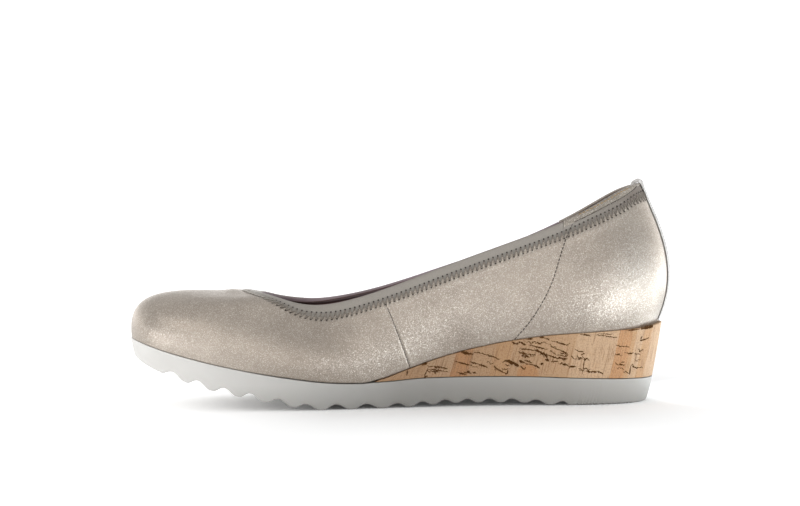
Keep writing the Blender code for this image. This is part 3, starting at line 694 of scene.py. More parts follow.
def along(curves, below):
    """Points on the curves at the distances below the topline; a negative one runs on past it."""
    steps = np.linalg.norm(np.diff(curves, axis=1), axis=2)
    found = np.empty((len(curves), below.shape[1], 3))
    for i, curve in enumerate(curves):
        to_top = np.append(np.cumsum(steps[i][::-1])[::-1], 0.0)
        for axis in range(3):
            found[i, :, axis] = np.interp(below[i], to_top[::-1], curve[::-1, axis])
        rise = (curve[-1] - curve[-2]) / steps[i][-1]
        found[i] += np.maximum(-below[i], 0)[:, None] * rise
    return found


def wall_length(s):
    """Length of the wall's curve from foot to topline at each place s."""
    return np.linalg.norm(np.diff(wall_curves(s), axis=1), axis=2).sum(axis=1)


def crease_relief(s, below):
    """Soft troughs and ridges that wear has pressed into the upper."""
    relief = np.zeros_like(below)
    for crease in CREASES:
        ahead = (s[:, None] - crease.place + GIRTH / 2) % GIRTH - GIRTH / 2
        down = below - crease.below
        turn = np.radians(crease.turn)
        run = ahead * np.cos(turn) + down * np.sin(turn)
        off = down * np.cos(turn) - ahead * np.sin(turn)
        relief += crease.height * np.exp(-((run / crease.length) ** 2) - (off / crease.width) ** 2)
    return relief


def wall_frame(s, below):
    """Points of the wall's outer face at places s and distances below the topline, and their normals."""
    curves = wall_curves(s)
    here = along(curves, below)
    along_girth = along(wall_curves(s + LINE_STEP), below) - along(wall_curves(s - LINE_STEP), below)
    inside = np.clip(below, None, wall_length(s)[:, None] - 2 * LINE_STEP)
    down_wall = along(curves, inside + LINE_STEP) - along(curves, inside - LINE_STEP)
    normal = unit(np.cross(down_wall, along_girth))
    return here + normal * crease_relief(s, below)[..., None], normal


def wall(s, below, out):
    """Points at places s, at distances below the topline and out of the wall's outer face."""
    here, normal = wall_frame(s, below)
    return here + normal * np.broadcast_to(out, below.shape)[..., None]


def on_wall(s, below):
    """Points and normals of the wall's outer face where s and below are arrays of the same shape."""
    here, normal = wall_frame(s.ravel(), below.reshape(-1, 1))
    return here.reshape(*s.shape, 3), normal.reshape(*s.shape, 3)


def topline_place(x, inner):
    """Place along the girth where the topline passes x, on the inner or the outer side."""
    start, end = (0.0, HEEL_PLACE) if inner else (HEEL_PLACE, GIRTH)
    s = np.linspace(start, end, OUTLINE_STEPS)
    top_x = sections_at(s)["top_x"]
    order = slice(None) if inner else slice(None, None, -1)
    return float(np.interp(x, top_x[order], s[order]))


def crowded_places(start, end, step, crowds=()):
    """Places from start to end about step apart, and closer together in the crowds of (start, end, step)."""
    fine = np.linspace(start, end, FINE_COUNT)
    density = np.full(FINE_COUNT, 1 / step)
    for low, high, tight in crowds:
        density[(fine > low) & (fine < high)] = 1 / tight
    counted = np.concatenate([[0.0], np.cumsum(density[:-1] * np.diff(fine))])
    return np.interp(np.linspace(0, counted[-1], int(round(counted[-1])) + 1), counted, fine)


def even_places(start, end, below, pitch):
    """Places from start to end that lie pitch apart along a line below the topline."""
    s = np.linspace(start, end, OUTLINE_STEPS)
    line = wall(s, np.full((len(s), 1), below), 0.0)[:, 0]
    far = run_length(line)
    return np.interp(np.linspace(0, far[-1], int(round(far[-1] / pitch)) + 1), far, s)


# Meshes


def facing_out(points, faces):
    """The groups of faces, turned over where they enclose a negative volume."""
    volume = 0.0
    for group in faces:
        group = np.asarray(group)
        for k in range(1, group.shape[1] - 1):
            first, second, third = (points[group[:, i]] for i in (0, k, k + 1))
            volume += np.einsum("ij,ij->", first, np.cross(second, third))
    return faces if volume > 0 else [np.asarray(group)[:, ::-1] for group in faces]


def new_piece(name, points, faces, material, node=None, uv=None):
    """A named piece from points in millimetres, which rides on the shoe's one body."""
    points = np.asarray(points, float).reshape(-1, 3) - (0.0, MIDDLE_Y, 0.0)
    faces = facing_out(points, faces)
    mesh = bpy.data.meshes.new(name)
    corners = [face for group in faces for face in np.asarray(group).tolist()]
    mesh.from_pydata((points * MM).tolist(), [], corners)
    mesh.update()
    mesh.shade_smooth()
    mesh.materials.append(material)
    if uv is not None:
        used = np.empty(len(mesh.loops), np.int32)
        mesh.loops.foreach_get("vertex_index", used)
        layer = mesh.uv_layers.new(name="unrolled")
        layer.data.foreach_set("uv", np.asarray(uv, np.float32).reshape(-1, 2)[used].ravel())
    made = bpy.data.objects.new(name, mesh)
    bpy.context.scene.collection.objects.link(made)
    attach(made, BODY)
    if node:
        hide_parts(node)


def ring_quads(count, around, closed):
    """Quads between rings of points; the run of rings may be closed."""
    i = np.arange(count if closed else count - 1)[:, None]
    j = np.arange(around)[None, :]
    here, there, after = i * around, (i + 1) % count * around, (j + 1) % around
    return np.stack([here + j, there + j, there + after, here + after], axis=-1).reshape(-1, 4)


def folded_caps(count, around):
    """End faces of a run of rings that go out along a path and come back beside it."""
    i = np.arange(around // 2 - 1)
    cap = np.stack([i, i + 1, around - 2 - i, around - 1 - i], axis=1)
    return np.vstack([cap, (count - 1) * around + cap[:, ::-1]])


def strip_faces(rings):
    """Faces of an open run of rings, with its end faces."""
    count, around = rings.shape[:2]
    return [ring_quads(count, around, False), folded_caps(count, around)]


def thickened(path, thickness):
    """The path moved to its left by thickness, both paths joined into one ring."""
    path = np.asarray(path, float)
    run = unit(np.gradient(path, axis=0))
    left = np.column_stack([-run[:, 1], run[:, 0]])
    return np.vstack([path, (path + left * thickness)[::-1]])


def rounded_path(path, step=None, count=None):
    """A path through the given points on one smooth curve, with points about step apart or count points."""
    path = np.asarray(path, float)
    far = run_length(path)
    at = np.linspace(0, far[-1], count or int(far[-1] / step) + 1)
    return np.column_stack([height_at(list(zip(far, path[:, axis])), at) for axis in range(2)])


def threads(paths, normals, half_width, half_height):
    """Points and faces of closed threads along many paths of one length, flattened towards the surface."""
    paths, normals = np.asarray(paths), np.asarray(normals)
    count, length = paths.shape[:2]
    sides = THREAD_SIDES
    run = unit(np.gradient(paths, axis=1))
    side = unit(np.cross(run, normals))
    up = np.cross(side, run)
    turn = np.arange(sides) * 2 * HALF_TURN / sides
    wide = np.broadcast_to(half_width, (count, length))[..., None, None]
    high = np.broadcast_to(half_height, (count, length))[..., None, None]
    ring = side[:, :, None] * np.cos(turn)[:, None] * wide + up[:, :, None] * np.sin(turn)[:, None] * high
    points = (paths[:, :, None] + ring).reshape(-1, 3)
    starts = np.arange(count)[:, None, None] * length * sides
    quads = (starts + ring_quads(length, sides, False)[None]).reshape(-1, 4)
    near_cap = starts[:, :, 0] + np.arange(sides)[None, :]
    far_cap = starts[:, :, 0] + (length - 1) * sides + np.arange(sides)[None, ::-1]
    return points, [quads, near_cap, far_cap]


# Plan outlines and slabs


def edge_offset(column):
    """How far the named sole edge stands outside the foot of the upper, as a function of x."""
    rows = [(row.x, getattr(row, column)) for row in SOLE_EDGES]
    return lambda x: height_at(rows, x)


class Outline:
    """The plan outline of the upper's foot, moved outwards by an offset that may vary along the length."""

    def __init__(self, offset):
        s = np.linspace(0, GIRTH, OUTLINE_STEPS, endpoint=False)
        row = sections_at(s)
        foot = np.stack([row["foot_x"], row["foot_y"]], axis=1)
        points = foot + outward(s) * np.broadcast_to(offset(foot[:, 0]), s.shape)[:, None]
        toe, heel = int(points[:, 0].argmin()), int(points[:, 0].argmax())
        points = np.roll(points, -toe, axis=0)
        turn = (heel - toe) % OUTLINE_STEPS
        self.inner = points[: turn + 1]
        self.outer = np.vstack([points[turn:], points[:1]])[::-1]
        self.toe_x, self.heel_x = points[0, 0], points[turn, 0]

    def side(self, share, inner):
        """Points of one side at shares of the way from toe to heel."""
        x = self.toe_x + share * (self.heel_x - self.toe_x)
        edge = self.inner if inner else self.outer
        return np.column_stack([x, np.interp(x, edge[:, 0], edge[:, 1])])

    def share(self, x):
        """The share of the way from toe to heel at x."""
        return (x - self.toe_x) / (self.heel_x - self.toe_x)


def slab_shares(start, step_share, crowds=()):
    """Stations along a slab as shares of its length, crowded together at its round ends."""
    turn = np.linspace(0, HALF_TURN / 2, TIP_STATIONS)
    tip = (1 - np.cos(turn)) * TIP_SHARE
    middle = crowded_places(max(start, TIP_SHARE), 1 - TIP_SHARE, step_share, crowds)
    toe = tip[:-1] if start < TIP_SHARE else np.empty(0)
    return np.concatenate([toe, middle, 1 - tip[::-1][1:]])


class Slab:
    """A slab between two plan outlines with rounded rims, whose side can be read unrolled."""

    def __init__(self, top_edge, low_edge, shares, top_z, low_z, rims, levels, swell=0.0):
        self.shares, self.tipped = shares, shares[0] == 0.0
        top, low = self.loop(top_edge), self.loop(low_edge)
        high, deep = top_z(top[:, 0]), low_z(low[:, 0])
        height = high - deep
        rims = np.array(rims) * np.minimum(1.0, height / (sum(rims) * RIM_ROOM))[:, None]
        turn = np.linspace(0, HALF_TURN / 2, RIM_STEPS)
        middle = np.linspace(0, 1, levels)[1:-1]
        depths, insets = [], []
        for angle in turn:
            depths.append(rims[:, 0] * (1 - np.cos(angle)))
            insets.append(rims[:, 0] * (1 - np.sin(angle)))
        for share in middle:
            depths.append(rims[:, 0] + share * (height - rims.sum(axis=1)))
            insets.append(np.zeros(len(top)))
        for angle in turn[::-1]:
            depths.append(height - rims[:, 1] * (1 - np.cos(angle)))
            insets.append(rims[:, 1] * (1 - np.sin(angle)))
        depth, inset = np.array(depths), np.array(insets)
        share = depth / height
        plan = top[None] + (low - top)[None] * share[..., None]
        normal = self.plan_normals(top)
        plan += normal[None] * (swell * np.sin(HALF_TURN * share) - inset)[..., None]
        self.rows = np.concatenate([plan, (high - depth)[..., None]], axis=2)
        self.normals = normal
        self.along = run_length(self.rows[len(self.rows) // 2][:, :2])

    def loop(self, edge):
        """The outline from the front along the inner side to the heel, and back along the outer side."""
        inner = edge.side(self.shares, True)
        outer = edge.side(self.shares[1:-1] if self.tipped else self.shares[:-1], False)
        return np.vstack([inner, outer[::-1]])

    def plan_normals(self, loop):
        """Unit normals of the loop in plan."""
        if self.tipped:
            run = np.roll(loop, -1, axis=0) - np.roll(loop, 1, axis=0)
        else:
            run = np.gradient(loop, axis=0)
        return unit(np.column_stack([run[:, 1], -run[:, 0]]))

    def place_at(self, x, z):
        """Distances along the inner side to the points at x and height z."""
        count = len(self.shares)
        far = np.interp(x, self.rows[0][:count, 0], self.along[:count])
        for _ in range(PLACE_ROUNDS):
            far = far + x - self.at(far, z)[0][:, 0]
        return far

    def at(self, far, z):
        """Points and normals of the side at distances along it and at heights."""
        column = np.interp(far, self.along, np.arange(len(self.along)))
        points = np.empty((len(column), 3))
        for i, place in enumerate(column):
            first = min(int(place), len(self.along) - 2)
            pair = self.rows[:, first : first + 2]
            strip = pair[:, 0] + (pair[:, 1] - pair[:, 0]) * (place - first)
            points[i] = [np.interp(z[i], strip[::-1, 2], strip[::-1, axis]) for axis in range(3)]
        columns = np.arange(len(self.along))
        plan = np.column_stack([np.interp(column, columns, side) for side in self.normals.T])
        return points, np.column_stack([plan, np.zeros(len(plan))])

    def mesh(self, top_crown=None, across=1):
        """Points, faces and unrolled coordinates of the whole slab."""
        levels, count = self.rows.shape[:2]
        points = [self.rows.reshape(-1, 3)]
        side = ring_quads(levels, count, False)
        faces, corners = [side], []
        stations = len(self.shares)
        made = levels * count
        for level, crown in ((0, top_crown), (levels - 1, None)):
            strips = []
            for k in range(stations):
                inner, outer = level * count + k, level * count + (count - k) % count
                if not self.tipped:
                    outer = level * count + min(2 * stations - 2 - k, count - 1)
                if (self.tipped and k == 0) or k == stations - 1:
                    strips.append([inner] * (across + 1))
                    continue
                ends = points[0][[inner, outer]]
                share = np.linspace(0, 1, across + 1)[1:-1, None]
                between = ends[0] + (ends[1] - ends[0]) * share
                if crown is not None:
                    between[:, 2] += crown(share[:, 0])
                points.append(between)
                strips.append([inner, *range(made, made + across - 1), outer])
                made += across - 1
            for here, there in zip(strips[:-1], strips[1:]):
                for j in range(across):
                    face = [here[j], there[j], there[j + 1], here[j + 1]]
                    face = face if level == 0 else face[::-1]
                    corners.append(list(dict.fromkeys(face)))
        faces.append([face for face in corners if len(face) == 4])
        faces.append([face for face in corners if len(face) == 3])
        uv = np.zeros((made, 2))
        uv[: levels * count, 0] = np.tile(self.along, levels)
        uv[: levels * count, 1] = self.rows[..., 2].ravel()
        points = np.vstack(points)
        if not self.tipped:
            faces[0] = np.array([face for face in side if not self.wraps(face, count)])
            first, last = np.arange(levels) * count, np.arange(1, levels + 1) * count - 1
            faces.append(np.stack([first[:-1], first[1:], last[1:], last[:-1]], axis=1))
        return points, [np.asarray(group) for group in faces if len(group)], uv

    @staticmethod
    def wraps(face, count):
        """True for a side face that joins the last column to the first."""
        columns = np.asarray(face) % count
        return columns.max() - columns.min() == count - 1 and count > 2


def seat_z(x):
    """Height that carries the foot of the upper."""
    return height_at(SEAT, x)


def under_wedge_z(x):
    """Height of the joint between cork and rubber."""
    return height_at(UNDER_WEDGE, x)


def sole_top_z(x):
    """Top of the outsole, under the upper in front and under the wedge behind."""
    behind = np.minimum(seat_z(x), under_wedge_z(x))
    return np.where(x < UNDER_WEDGE[0].x, seat_z(x), behind) - GAP


def lug_rise(x):
    """Height above the tread line of a wave of lugs with slightly flattened tips."""
    here = [notch.x for notch in NOTCHES]
    after = int(np.searchsorted(here, x))
    if after == 0:
        depth, phase = NOTCHES[0].depth, min((here[0] - x) / TOE_LUG_LENGTH, HALF_WAVE)
    elif after == len(here):
        depth, phase = NOTCHES[-1].depth, min((x - here[-1]) / HEEL_LUG_LENGTH, HALF_WAVE)
    else:
        phase = (x - here[after - 1]) / (here[after] - here[after - 1])
        depth = NOTCHES[after - 1].depth * (1 - phase) + NOTCHES[after].depth * phase
    wave = (1 + np.cos(2 * HALF_TURN * phase)) / 2
    return depth * max(wave * (1 + LUG_FLAT) - LUG_FLAT, 0.0)


def heel_ribs(x):
    """Fine ribs across the underside of the heel."""
    groove = (1 - np.cos(2 * HALF_TURN * (x - RIB_START_X) / RIB_PITCH)) / 2
    return np.where((x > RIB_START_X) & (x < RIB_END_X), RIB_DEPTH * groove**2, 0.0)


def tread_z(x):
    """Underside of the outsole, with its lugs and the ribs of the heel."""
    return height_at(TREAD, x) + np.array([lug_rise(place) for place in x]) + heel_ribs(x)


# Sizes and colours that a user may change


def size_property(name, description, millimetres):
    """A length with its unit."""
    look = {"subtype": "DISTANCE", "unit": "LENGTH"}
    return FloatProperty(name=name, description=description, default=millimetres * MM, min=0.0, **look)


def colour_property(name, description, colour):
    """A colour in linear red, green and blue."""
    return FloatVectorProperty(
        name=name, description=description, default=colour, size=3, min=0.0, max=1.0, subtype="COLOR"
    )


class PumpSizes(bpy.types.PropertyGroup):
    """Sizes of the sewing and of the finer relief."""

    zigzag_pitch: size_property("Zigzag pitch", "Length of one zigzag along the topline", 2.25)
    zigzag_top: size_property("Zigzag top", "Upper needle holes below the topline, along the sides", 4.6)
    zigzag_foot: size_property("Zigzag foot", "Lower needle holes below the topline, along the sides", 7.4)
    thread: size_property("Thread", "Thickness of the zigzag thread", 0.42)
    hole: size_property("Needle hole", "Diameter of a needle hole", 0.8)
    stitch_pitch: size_property("Stitch pitch", "Length of one stitch with its gap on the counter", 1.9)
    stitch_length: size_property("Stitch length", "Length of one visible stitch on the counter", 1.15)
    seam_depth: size_property("Seam depth", "Depth of the trough along a seam", 0.32)
    seam_width: size_property("Seam width", "Half width of the trough along a seam", 0.4)


class PumpColours(bpy.types.PropertyGroup):
    """Colours of the materials."""

    suede: colour_property("Suede", "Metallic suede of the upper", (0.39, 0.338, 0.288))
    suede_shade: colour_property("Suede shade", "Darker clouds in the suede", (0.335, 0.289, 0.245))
    lining_roll: colour_property("Rolled lining", "Edge of the lining along the topline", (0.26, 0.2, 0.215))
    glitter: colour_property("Glitter", "Bright flecks in the suede", (0.86, 0.8, 0.72))
    collar: colour_property("Collar", "Leather round the heel's topline", (0.26, 0.225, 0.185))
    strap: colour_property("Back strap", "Strap where it folds over the collar", (0.6, 0.58, 0.56))
    # Painted shade: this dark colour stands in for the shade on the strap up the heel
    strap_painted_shade: colour_property("Strap shade", "The same leather up the heel", (0.16, 0.14, 0.12))
    elastic: colour_property("Elastic", "Folded elastic along the topline", (0.248, 0.224, 0.196))
    # Painted shade: multiplies the elastic near the heel's back, where the collar shades it
    heel_elastic: colour_property("Heel elastic", "Shade of the elastic at the heel", (0.66, 0.6, 0.57))
    thread: colour_property("Thread", "Zigzag thread", (0.25, 0.213, 0.176))
    # Painted shade: the near-black stands in for the shade inside a needle hole
    hole: colour_property("Needle hole", "Inside of a needle hole", (0.028, 0.02, 0.014))
    seam_thread: colour_property("Seam thread", "Dark thread of the seams", (0.06, 0.045, 0.035))
    ochre_thread: colour_property("Ochre thread", "Thread along the collar's edge", (0.36, 0.22, 0.08))
    lining: colour_property("Lining", "Leather inside the shoe", (0.14, 0.085, 0.08))
    sock: colour_property("Sock", "Leather of the footbed", SLOT_COLOURS["lining_leather"])
    cork_pale: colour_property("Pale cork", "Lightest slices of the cork", (0.465, 0.31, 0.187))
    cork_tan: colour_property("Tan cork", "Middling slices of the cork", (0.405, 0.25, 0.134))
    cork_honey: colour_property("Honey cork", "Warmer slices of the cork", (0.42, 0.24, 0.112))
    cork_rust: colour_property("Rust cork", "Reddest slices of the cork", (0.41, 0.197, 0.076))
    fissure: colour_property("Fissure", "Dark fissures of the cork", (0.046, 0.019, 0.005))
    # Painted light and shade along the sole: the pale toe is painted light, the dark waist painted shade
    rubber_toe_painted_light: colour_property("Rubber at the toe", "Palest rubber of the sole", (0.63, 0.617, 0.593))
    rubber_waist_painted_shade: colour_property("Rubber at the waist", "Darkest rubber of the sole", (0.247, 0.235, 0.218))
    rubber_heel: colour_property("Rubber at the heel", "Rubber of the sole's back end", (0.37, 0.352, 0.328))
    floor: colour_property("Floor", "Plain pale floor", (0.93, 0.93, 0.93))


# Materials


def new_material(name, colour, roughness, **sockets):
    """A Principled material, its shader and its node tree."""
    made = bpy.data.materials.new(name)
    made.use_nodes = True
    shader = made.node_tree.nodes["Principled BSDF"]
    shader.inputs["Base Color"].default_value = (*colour, 1.0)
    shader.inputs["Roughness"].default_value = roughness
    for socket, value in sockets.items():
        shader.inputs[socket.replace("_", " ").title()].default_value = value
    return made, shader, made.node_tree


def add_node(tree, kind, inputs=(), **settings):
    """A node with its settings and the values or links of its inputs."""
    made = tree.nodes.new("ShaderNode" + kind)
    for key, value in settings.items():
        setattr(made, key, value)
    for key, value in dict(inputs).items():
        if isinstance(value, bpy.types.NodeSocket):
            tree.links.new(value, made.inputs[key])
        else:
            made.inputs[key].default_value = value
    return made


def place_of(tree):
    """Places on the piece in metres."""
    return add_node(tree, "TexCoord").outputs["Object"]


def unrolled_of(tree):
    """Unrolled coordinates of the piece."""
    return add_node(tree, "UVMap", uv_map="unrolled").outputs["UV"]


def axes_of(tree, vector):
    """The outputs X, Y and Z of a vector."""
    return add_node(tree, "SeparateXYZ", {"Vector": vector}).outputs


def stretched(tree, place, scale):
    """The place scaled along each axis."""
    return add_node(tree, "Mapping", {"Vector": place, "Scale": scale}).outputs["Vector"]


def noise(tree, place, scale, detail=2.0, roughness=0.5):
    """Soft noise of about 1/scale, from 0 to 1."""
    inputs = {"Vector": place, "Scale": scale, "Detail": detail, "Roughness": roughness}
    return add_node(tree, "TexNoise", inputs).outputs["Fac"]


def spread(tree, value, low, high, to_low=0.0, to_high=1.0):
    """The value between low and high, spread over another range."""
    inputs = {"Value": value, "From Min": low, "From Max": high, "To Min": to_low, "To Max": to_high}
    return add_node(tree, "MapRange", inputs).outputs["Result"]


def sums(tree, operation, first, second):
    """One sum of two values."""
    return add_node(tree, "Math", {0: first, 1: second}, operation=operation).outputs["Value"]


def away_from(tree, value, middle):
    """How far a value lies from the middle, to either side."""
    return sums(tree, "ABSOLUTE", sums(tree, "SUBTRACT", value, middle), 0.0)


def vectors(tree, operation, inputs, output="Vector"):
    """One sum of vectors."""
    return add_node(tree, "VectorMath", inputs, operation=operation).outputs[output]


def mixed(tree, share, first, second, blend="MIX"):
    """Two colours mixed by a share. A colour is a socket or red, green and blue."""
    made = add_node(tree, "Mix", {0: share}, data_type="RGBA", blend_type=blend)
    for number, colour in zip(MIX_COLOURS, (first, second)):
        if isinstance(colour, bpy.types.NodeSocket):
            tree.links.new(colour, made.inputs[number])
        else:
            made.inputs[number].default_value = (*colour, 1.0)
    return made.outputs[MIX_RESULT]


def toned(colour, tone):
    """The colour darkened or lightened."""
    return tuple(min(1.0, tone * part) for part in colour)


def painted(tree, shader, base, roughness=None):
    """Link the shader's colour, and its roughness where that varies."""
    tree.links.new(base, shader.inputs["Base Color"])
    if roughness:
        tree.links.new(roughness, shader.inputs["Roughness"])


def relief_normal(tree, height, strength, depth):
    """Normals of a fine relief, depth in millimetres."""
    inputs = {"Height": height, "Strength": strength, "Distance": depth * MM}
    return add_node(tree, "Bump", inputs).outputs["Normal"]


def bumped(tree, shader, height, strength, depth):
    """Fine relief on the shader from a height, depth in millimetres."""
    tree.links.new(relief_normal(tree, height, strength, depth), shader.inputs["Normal"])


def metallic_suede(name, colour, shade, glitter, metallic):
    """Suede with a metallic finish: soft clouds, a fine nap, flecks that each lie a little aslant, and dark
    patches that are partly smudges, partly painted shade.
    """
    made, shader, tree = new_material(name, colour, SUEDE_ROUGHNESS, metallic=metallic)
    place = place_of(tree)
    clouds = spread(tree, noise(tree, place, *SUEDE_CLOUDS), *SUEDE_CLOUD_REACH)
    nap = noise(tree, place, *SUEDE_NAP)
    cells = add_node(tree, "TexVoronoi", {"Vector": place, "Scale": FLECK_SCALE}).outputs["Color"]
    fleck = add_node(tree, "SeparateColor", {"Color": cells}).outputs["Red"]
    base = mixed(tree, clouds, shade, colour)
    base = mixed(tree, spread(tree, fleck, *DULL_FLECKS), base, shade)
    base = mixed(tree, spread(tree, fleck, *BRIGHT_FLECKS), base, glitter)
    # Each patch darkens the suede towards its shade: partly smudges, partly painted shade
    for smudge_and_shade in SMUDGES_AND_SHADES:
        off = vectors(tree, "DISTANCE", {0: place, 1: smudge_and_shade.place}, "Value")
        base = mixed(tree, spread(tree, off, 0.0, smudge_and_shade.radius, smudge_and_shade.share, 0.0), base, shade, "MULTIPLY")
    painted(tree, shader, base, spread(tree, nap, *SUEDE_NAP_GLOSS))
    aslant = vectors(tree, "SUBTRACT", {0: cells, 1: FLECK_MIDDLE})
    tilt = vectors(tree, "SCALE", {0: aslant, "Scale": FLECK_TILT})
    turned = vectors(tree, "ADD", {0: relief_normal(tree, nap, *SUEDE_BUMP), 1: tilt})
    tree.links.new(vectors(tree, "NORMALIZE", {0: turned}), shader.inputs["Normal"])
    return made


def woven_elastic(name, colour, heel_painted_shade):
    """Smooth woven elastic with fine cords, darker where sewn down (partly the thread, partly painted
    shade), with painted shade below the collar and a painted highlight at the throat.
    """
    made, shader, tree = new_material(name, colour, ELASTIC_ROUGHNESS)
    unrolled = unrolled_of(tree)
    axes = axes_of(tree, unrolled)
    front = away_from(tree, axes["X"], GIRTH)
    cords = noise(tree, stretched(tree, unrolled, CORD_STRETCH), *ELASTIC_CORDS)
    fuzz = noise(tree, place_of(tree), *ELASTIC_FUZZ)
    base = mixed(tree, spread(tree, cords, *NOISE_MIDDLE, *CORD_SHARES), colour, toned(colour, CORD_TONE))
    base = mixed(tree, spread(tree, fuzz, *FUZZ_REACH), base, toned(colour, FUZZ_TONE))
    # Darker where sewn down: partly the thread, partly painted shade
    sewn_down_and_shade = spread(tree, axes["Y"], *SEWN_DOWN_AND_SHADE_REACH)
    sewn_down_and_shade = sums(tree, "MULTIPLY", sewn_down_and_shade, spread(tree, front, *THROAT_FRONT_REACH))
    base = mixed(tree, sewn_down_and_shade, base, toned(colour, SEWN_DOWN_AND_SHADE_TONE))
    # Painted highlight at the front of the throat
    pale = spread(tree, front, *THROAT_FRONT_REACH, *THROAT_HIGHLIGHT_SHARES)
    base = mixed(tree, pale, base, THROAT_HIGHLIGHT_COLOUR)
    # Painted shade near the heel's back, below the collar
    at_heel = spread(tree, away_from(tree, axes["X"], HEEL_PLACE), *HEEL_PAINTED_SHADE_REACH)
    base = mixed(tree, at_heel, base, heel_painted_shade, "MULTIPLY")
    painted(tree, shader, base, spread(tree, fuzz, *NOISE_MIDDLE, *ELASTIC_GLOSS))
    bumped(tree, shader, sums(tree, "ADD", cords, fuzz), *ELASTIC_BUMP)
    return made


def twisted_thread(name, colour, throat_highlight=False):
    """Sewing thread with a fine twist; the highlighted one bears a painted highlight at the front of the
    throat.
    """
    made, shader, tree = new_material(name, colour, THREAD_ROUGHNESS)
    place = place_of(tree)
    fibre = noise(tree, place, *THREAD_FIBRE)
    base = mixed(tree, spread(tree, fibre, *NOISE_MIDDLE), toned(colour, THREAD_TONE), colour)
    if throat_highlight:
        # Painted highlight at the front of the throat
        base = mixed(tree, spread(tree, axes_of(tree, place)["X"], *THREAD_HIGHLIGHT_REACH), base, THROAT_HIGHLIGHT_COLOUR)
    painted(tree, shader, base)
    bumped(tree, shader, fibre, *THREAD_BUMP)
    return made


def smooth_leather(name, colour, roughness):
    """Smooth leather with a fine grain and faint clouds."""
    made, shader, tree = new_material(name, colour, roughness)
    place = place_of(tree)
    clouds = spread(tree, noise(tree, place, *LEATHER_CLOUDS), *LEATHER_CLOUD_REACH)
    grain = add_node(tree, "TexVoronoi", {"Vector": place, "Scale": LEATHER_GRAIN}).outputs["Distance"]
    pores = noise(tree, place, *LEATHER_PORES)
    darker = toned(colour, LEATHER_TONE)
    base = mixed(tree, clouds, darker, colour)
    base = mixed(tree, spread(tree, pores, *LEATHER_PORE_REACH), base, darker)
    gloss = [roughness + change for change in LEATHER_GLOSS]
    painted(tree, shader, base, spread(tree, pores, *NOISE_MIDDLE, *gloss))
    bumped(tree, shader, sums(tree, "ADD", grain, pores), *LEATHER_BUMP)
    return made


def strap_leather(name, colour, shade):
    """Smooth leather, pale at its edges and where it folds over the collar, with painted shade along its
    middle up the heel.
    """
    made, shader, tree = new_material(name, colour, STRAP_ROUGHNESS)
    shader.inputs["Specular IOR Level"].default_value = STRAP_SHINE
    axes = axes_of(tree, unrolled_of(tree))
    across = spread(tree, away_from(tree, axes["X"], HEEL_PLACE), *STRAP_PAINTED_SHADE_ACROSS)
    # Painted shade along the strap's middle, below its fold
    strap_painted_shade_mask = sums(tree, "MULTIPLY", spread(tree, axes["Y"], *STRAP_PAINTED_SHADE_BELOW), across)
    grain = noise(tree, place_of(tree), *STRAP_GRAIN)
    base = mixed(tree, strap_painted_shade_mask, colour, shade)
    base = mixed(tree, spread(tree, grain, *STRAP_GRAIN_REACH), base, shade)
    painted(tree, shader, base)
    bumped(tree, shader, grain, *STRAP_BUMP)
    return made


def slice_tones(tree, slab, colours, place):
    """Colours of the cork's slices at places along the slab's side."""
    length = float(slab.along[-1])
    made = add_node(tree, "ValToRGB", {"Fac": sums(tree, "DIVIDE", place, length)})
    made.color_ramp.interpolation = "CONSTANT"
    starts = np.array([row.x for row in CORK_SLICES])
    starts = slab.place_at(starts, np.full_like(starts, SLICE_MIDDLE_Z)) / length
    stops = [(float(start), row.tone) for start, row in zip(starts, CORK_SLICES)]
    stops += [(1.0 - start + FAR_SLICE_SHIFT, tone) for start, tone in reversed(stops[:-1])]
    elements = made.color_ramp.elements
    while len(elements) < len(stops):
        elements.new(RAMP_MIDDLE)
    for element, (position, tone) in zip(elements, sorted(stops)):
        element.position = min(max(position, 0.0), 1.0)
        element.color = (*getattr(colours, "cork_" + tone), 1.0)
    return made.outputs["Color"]


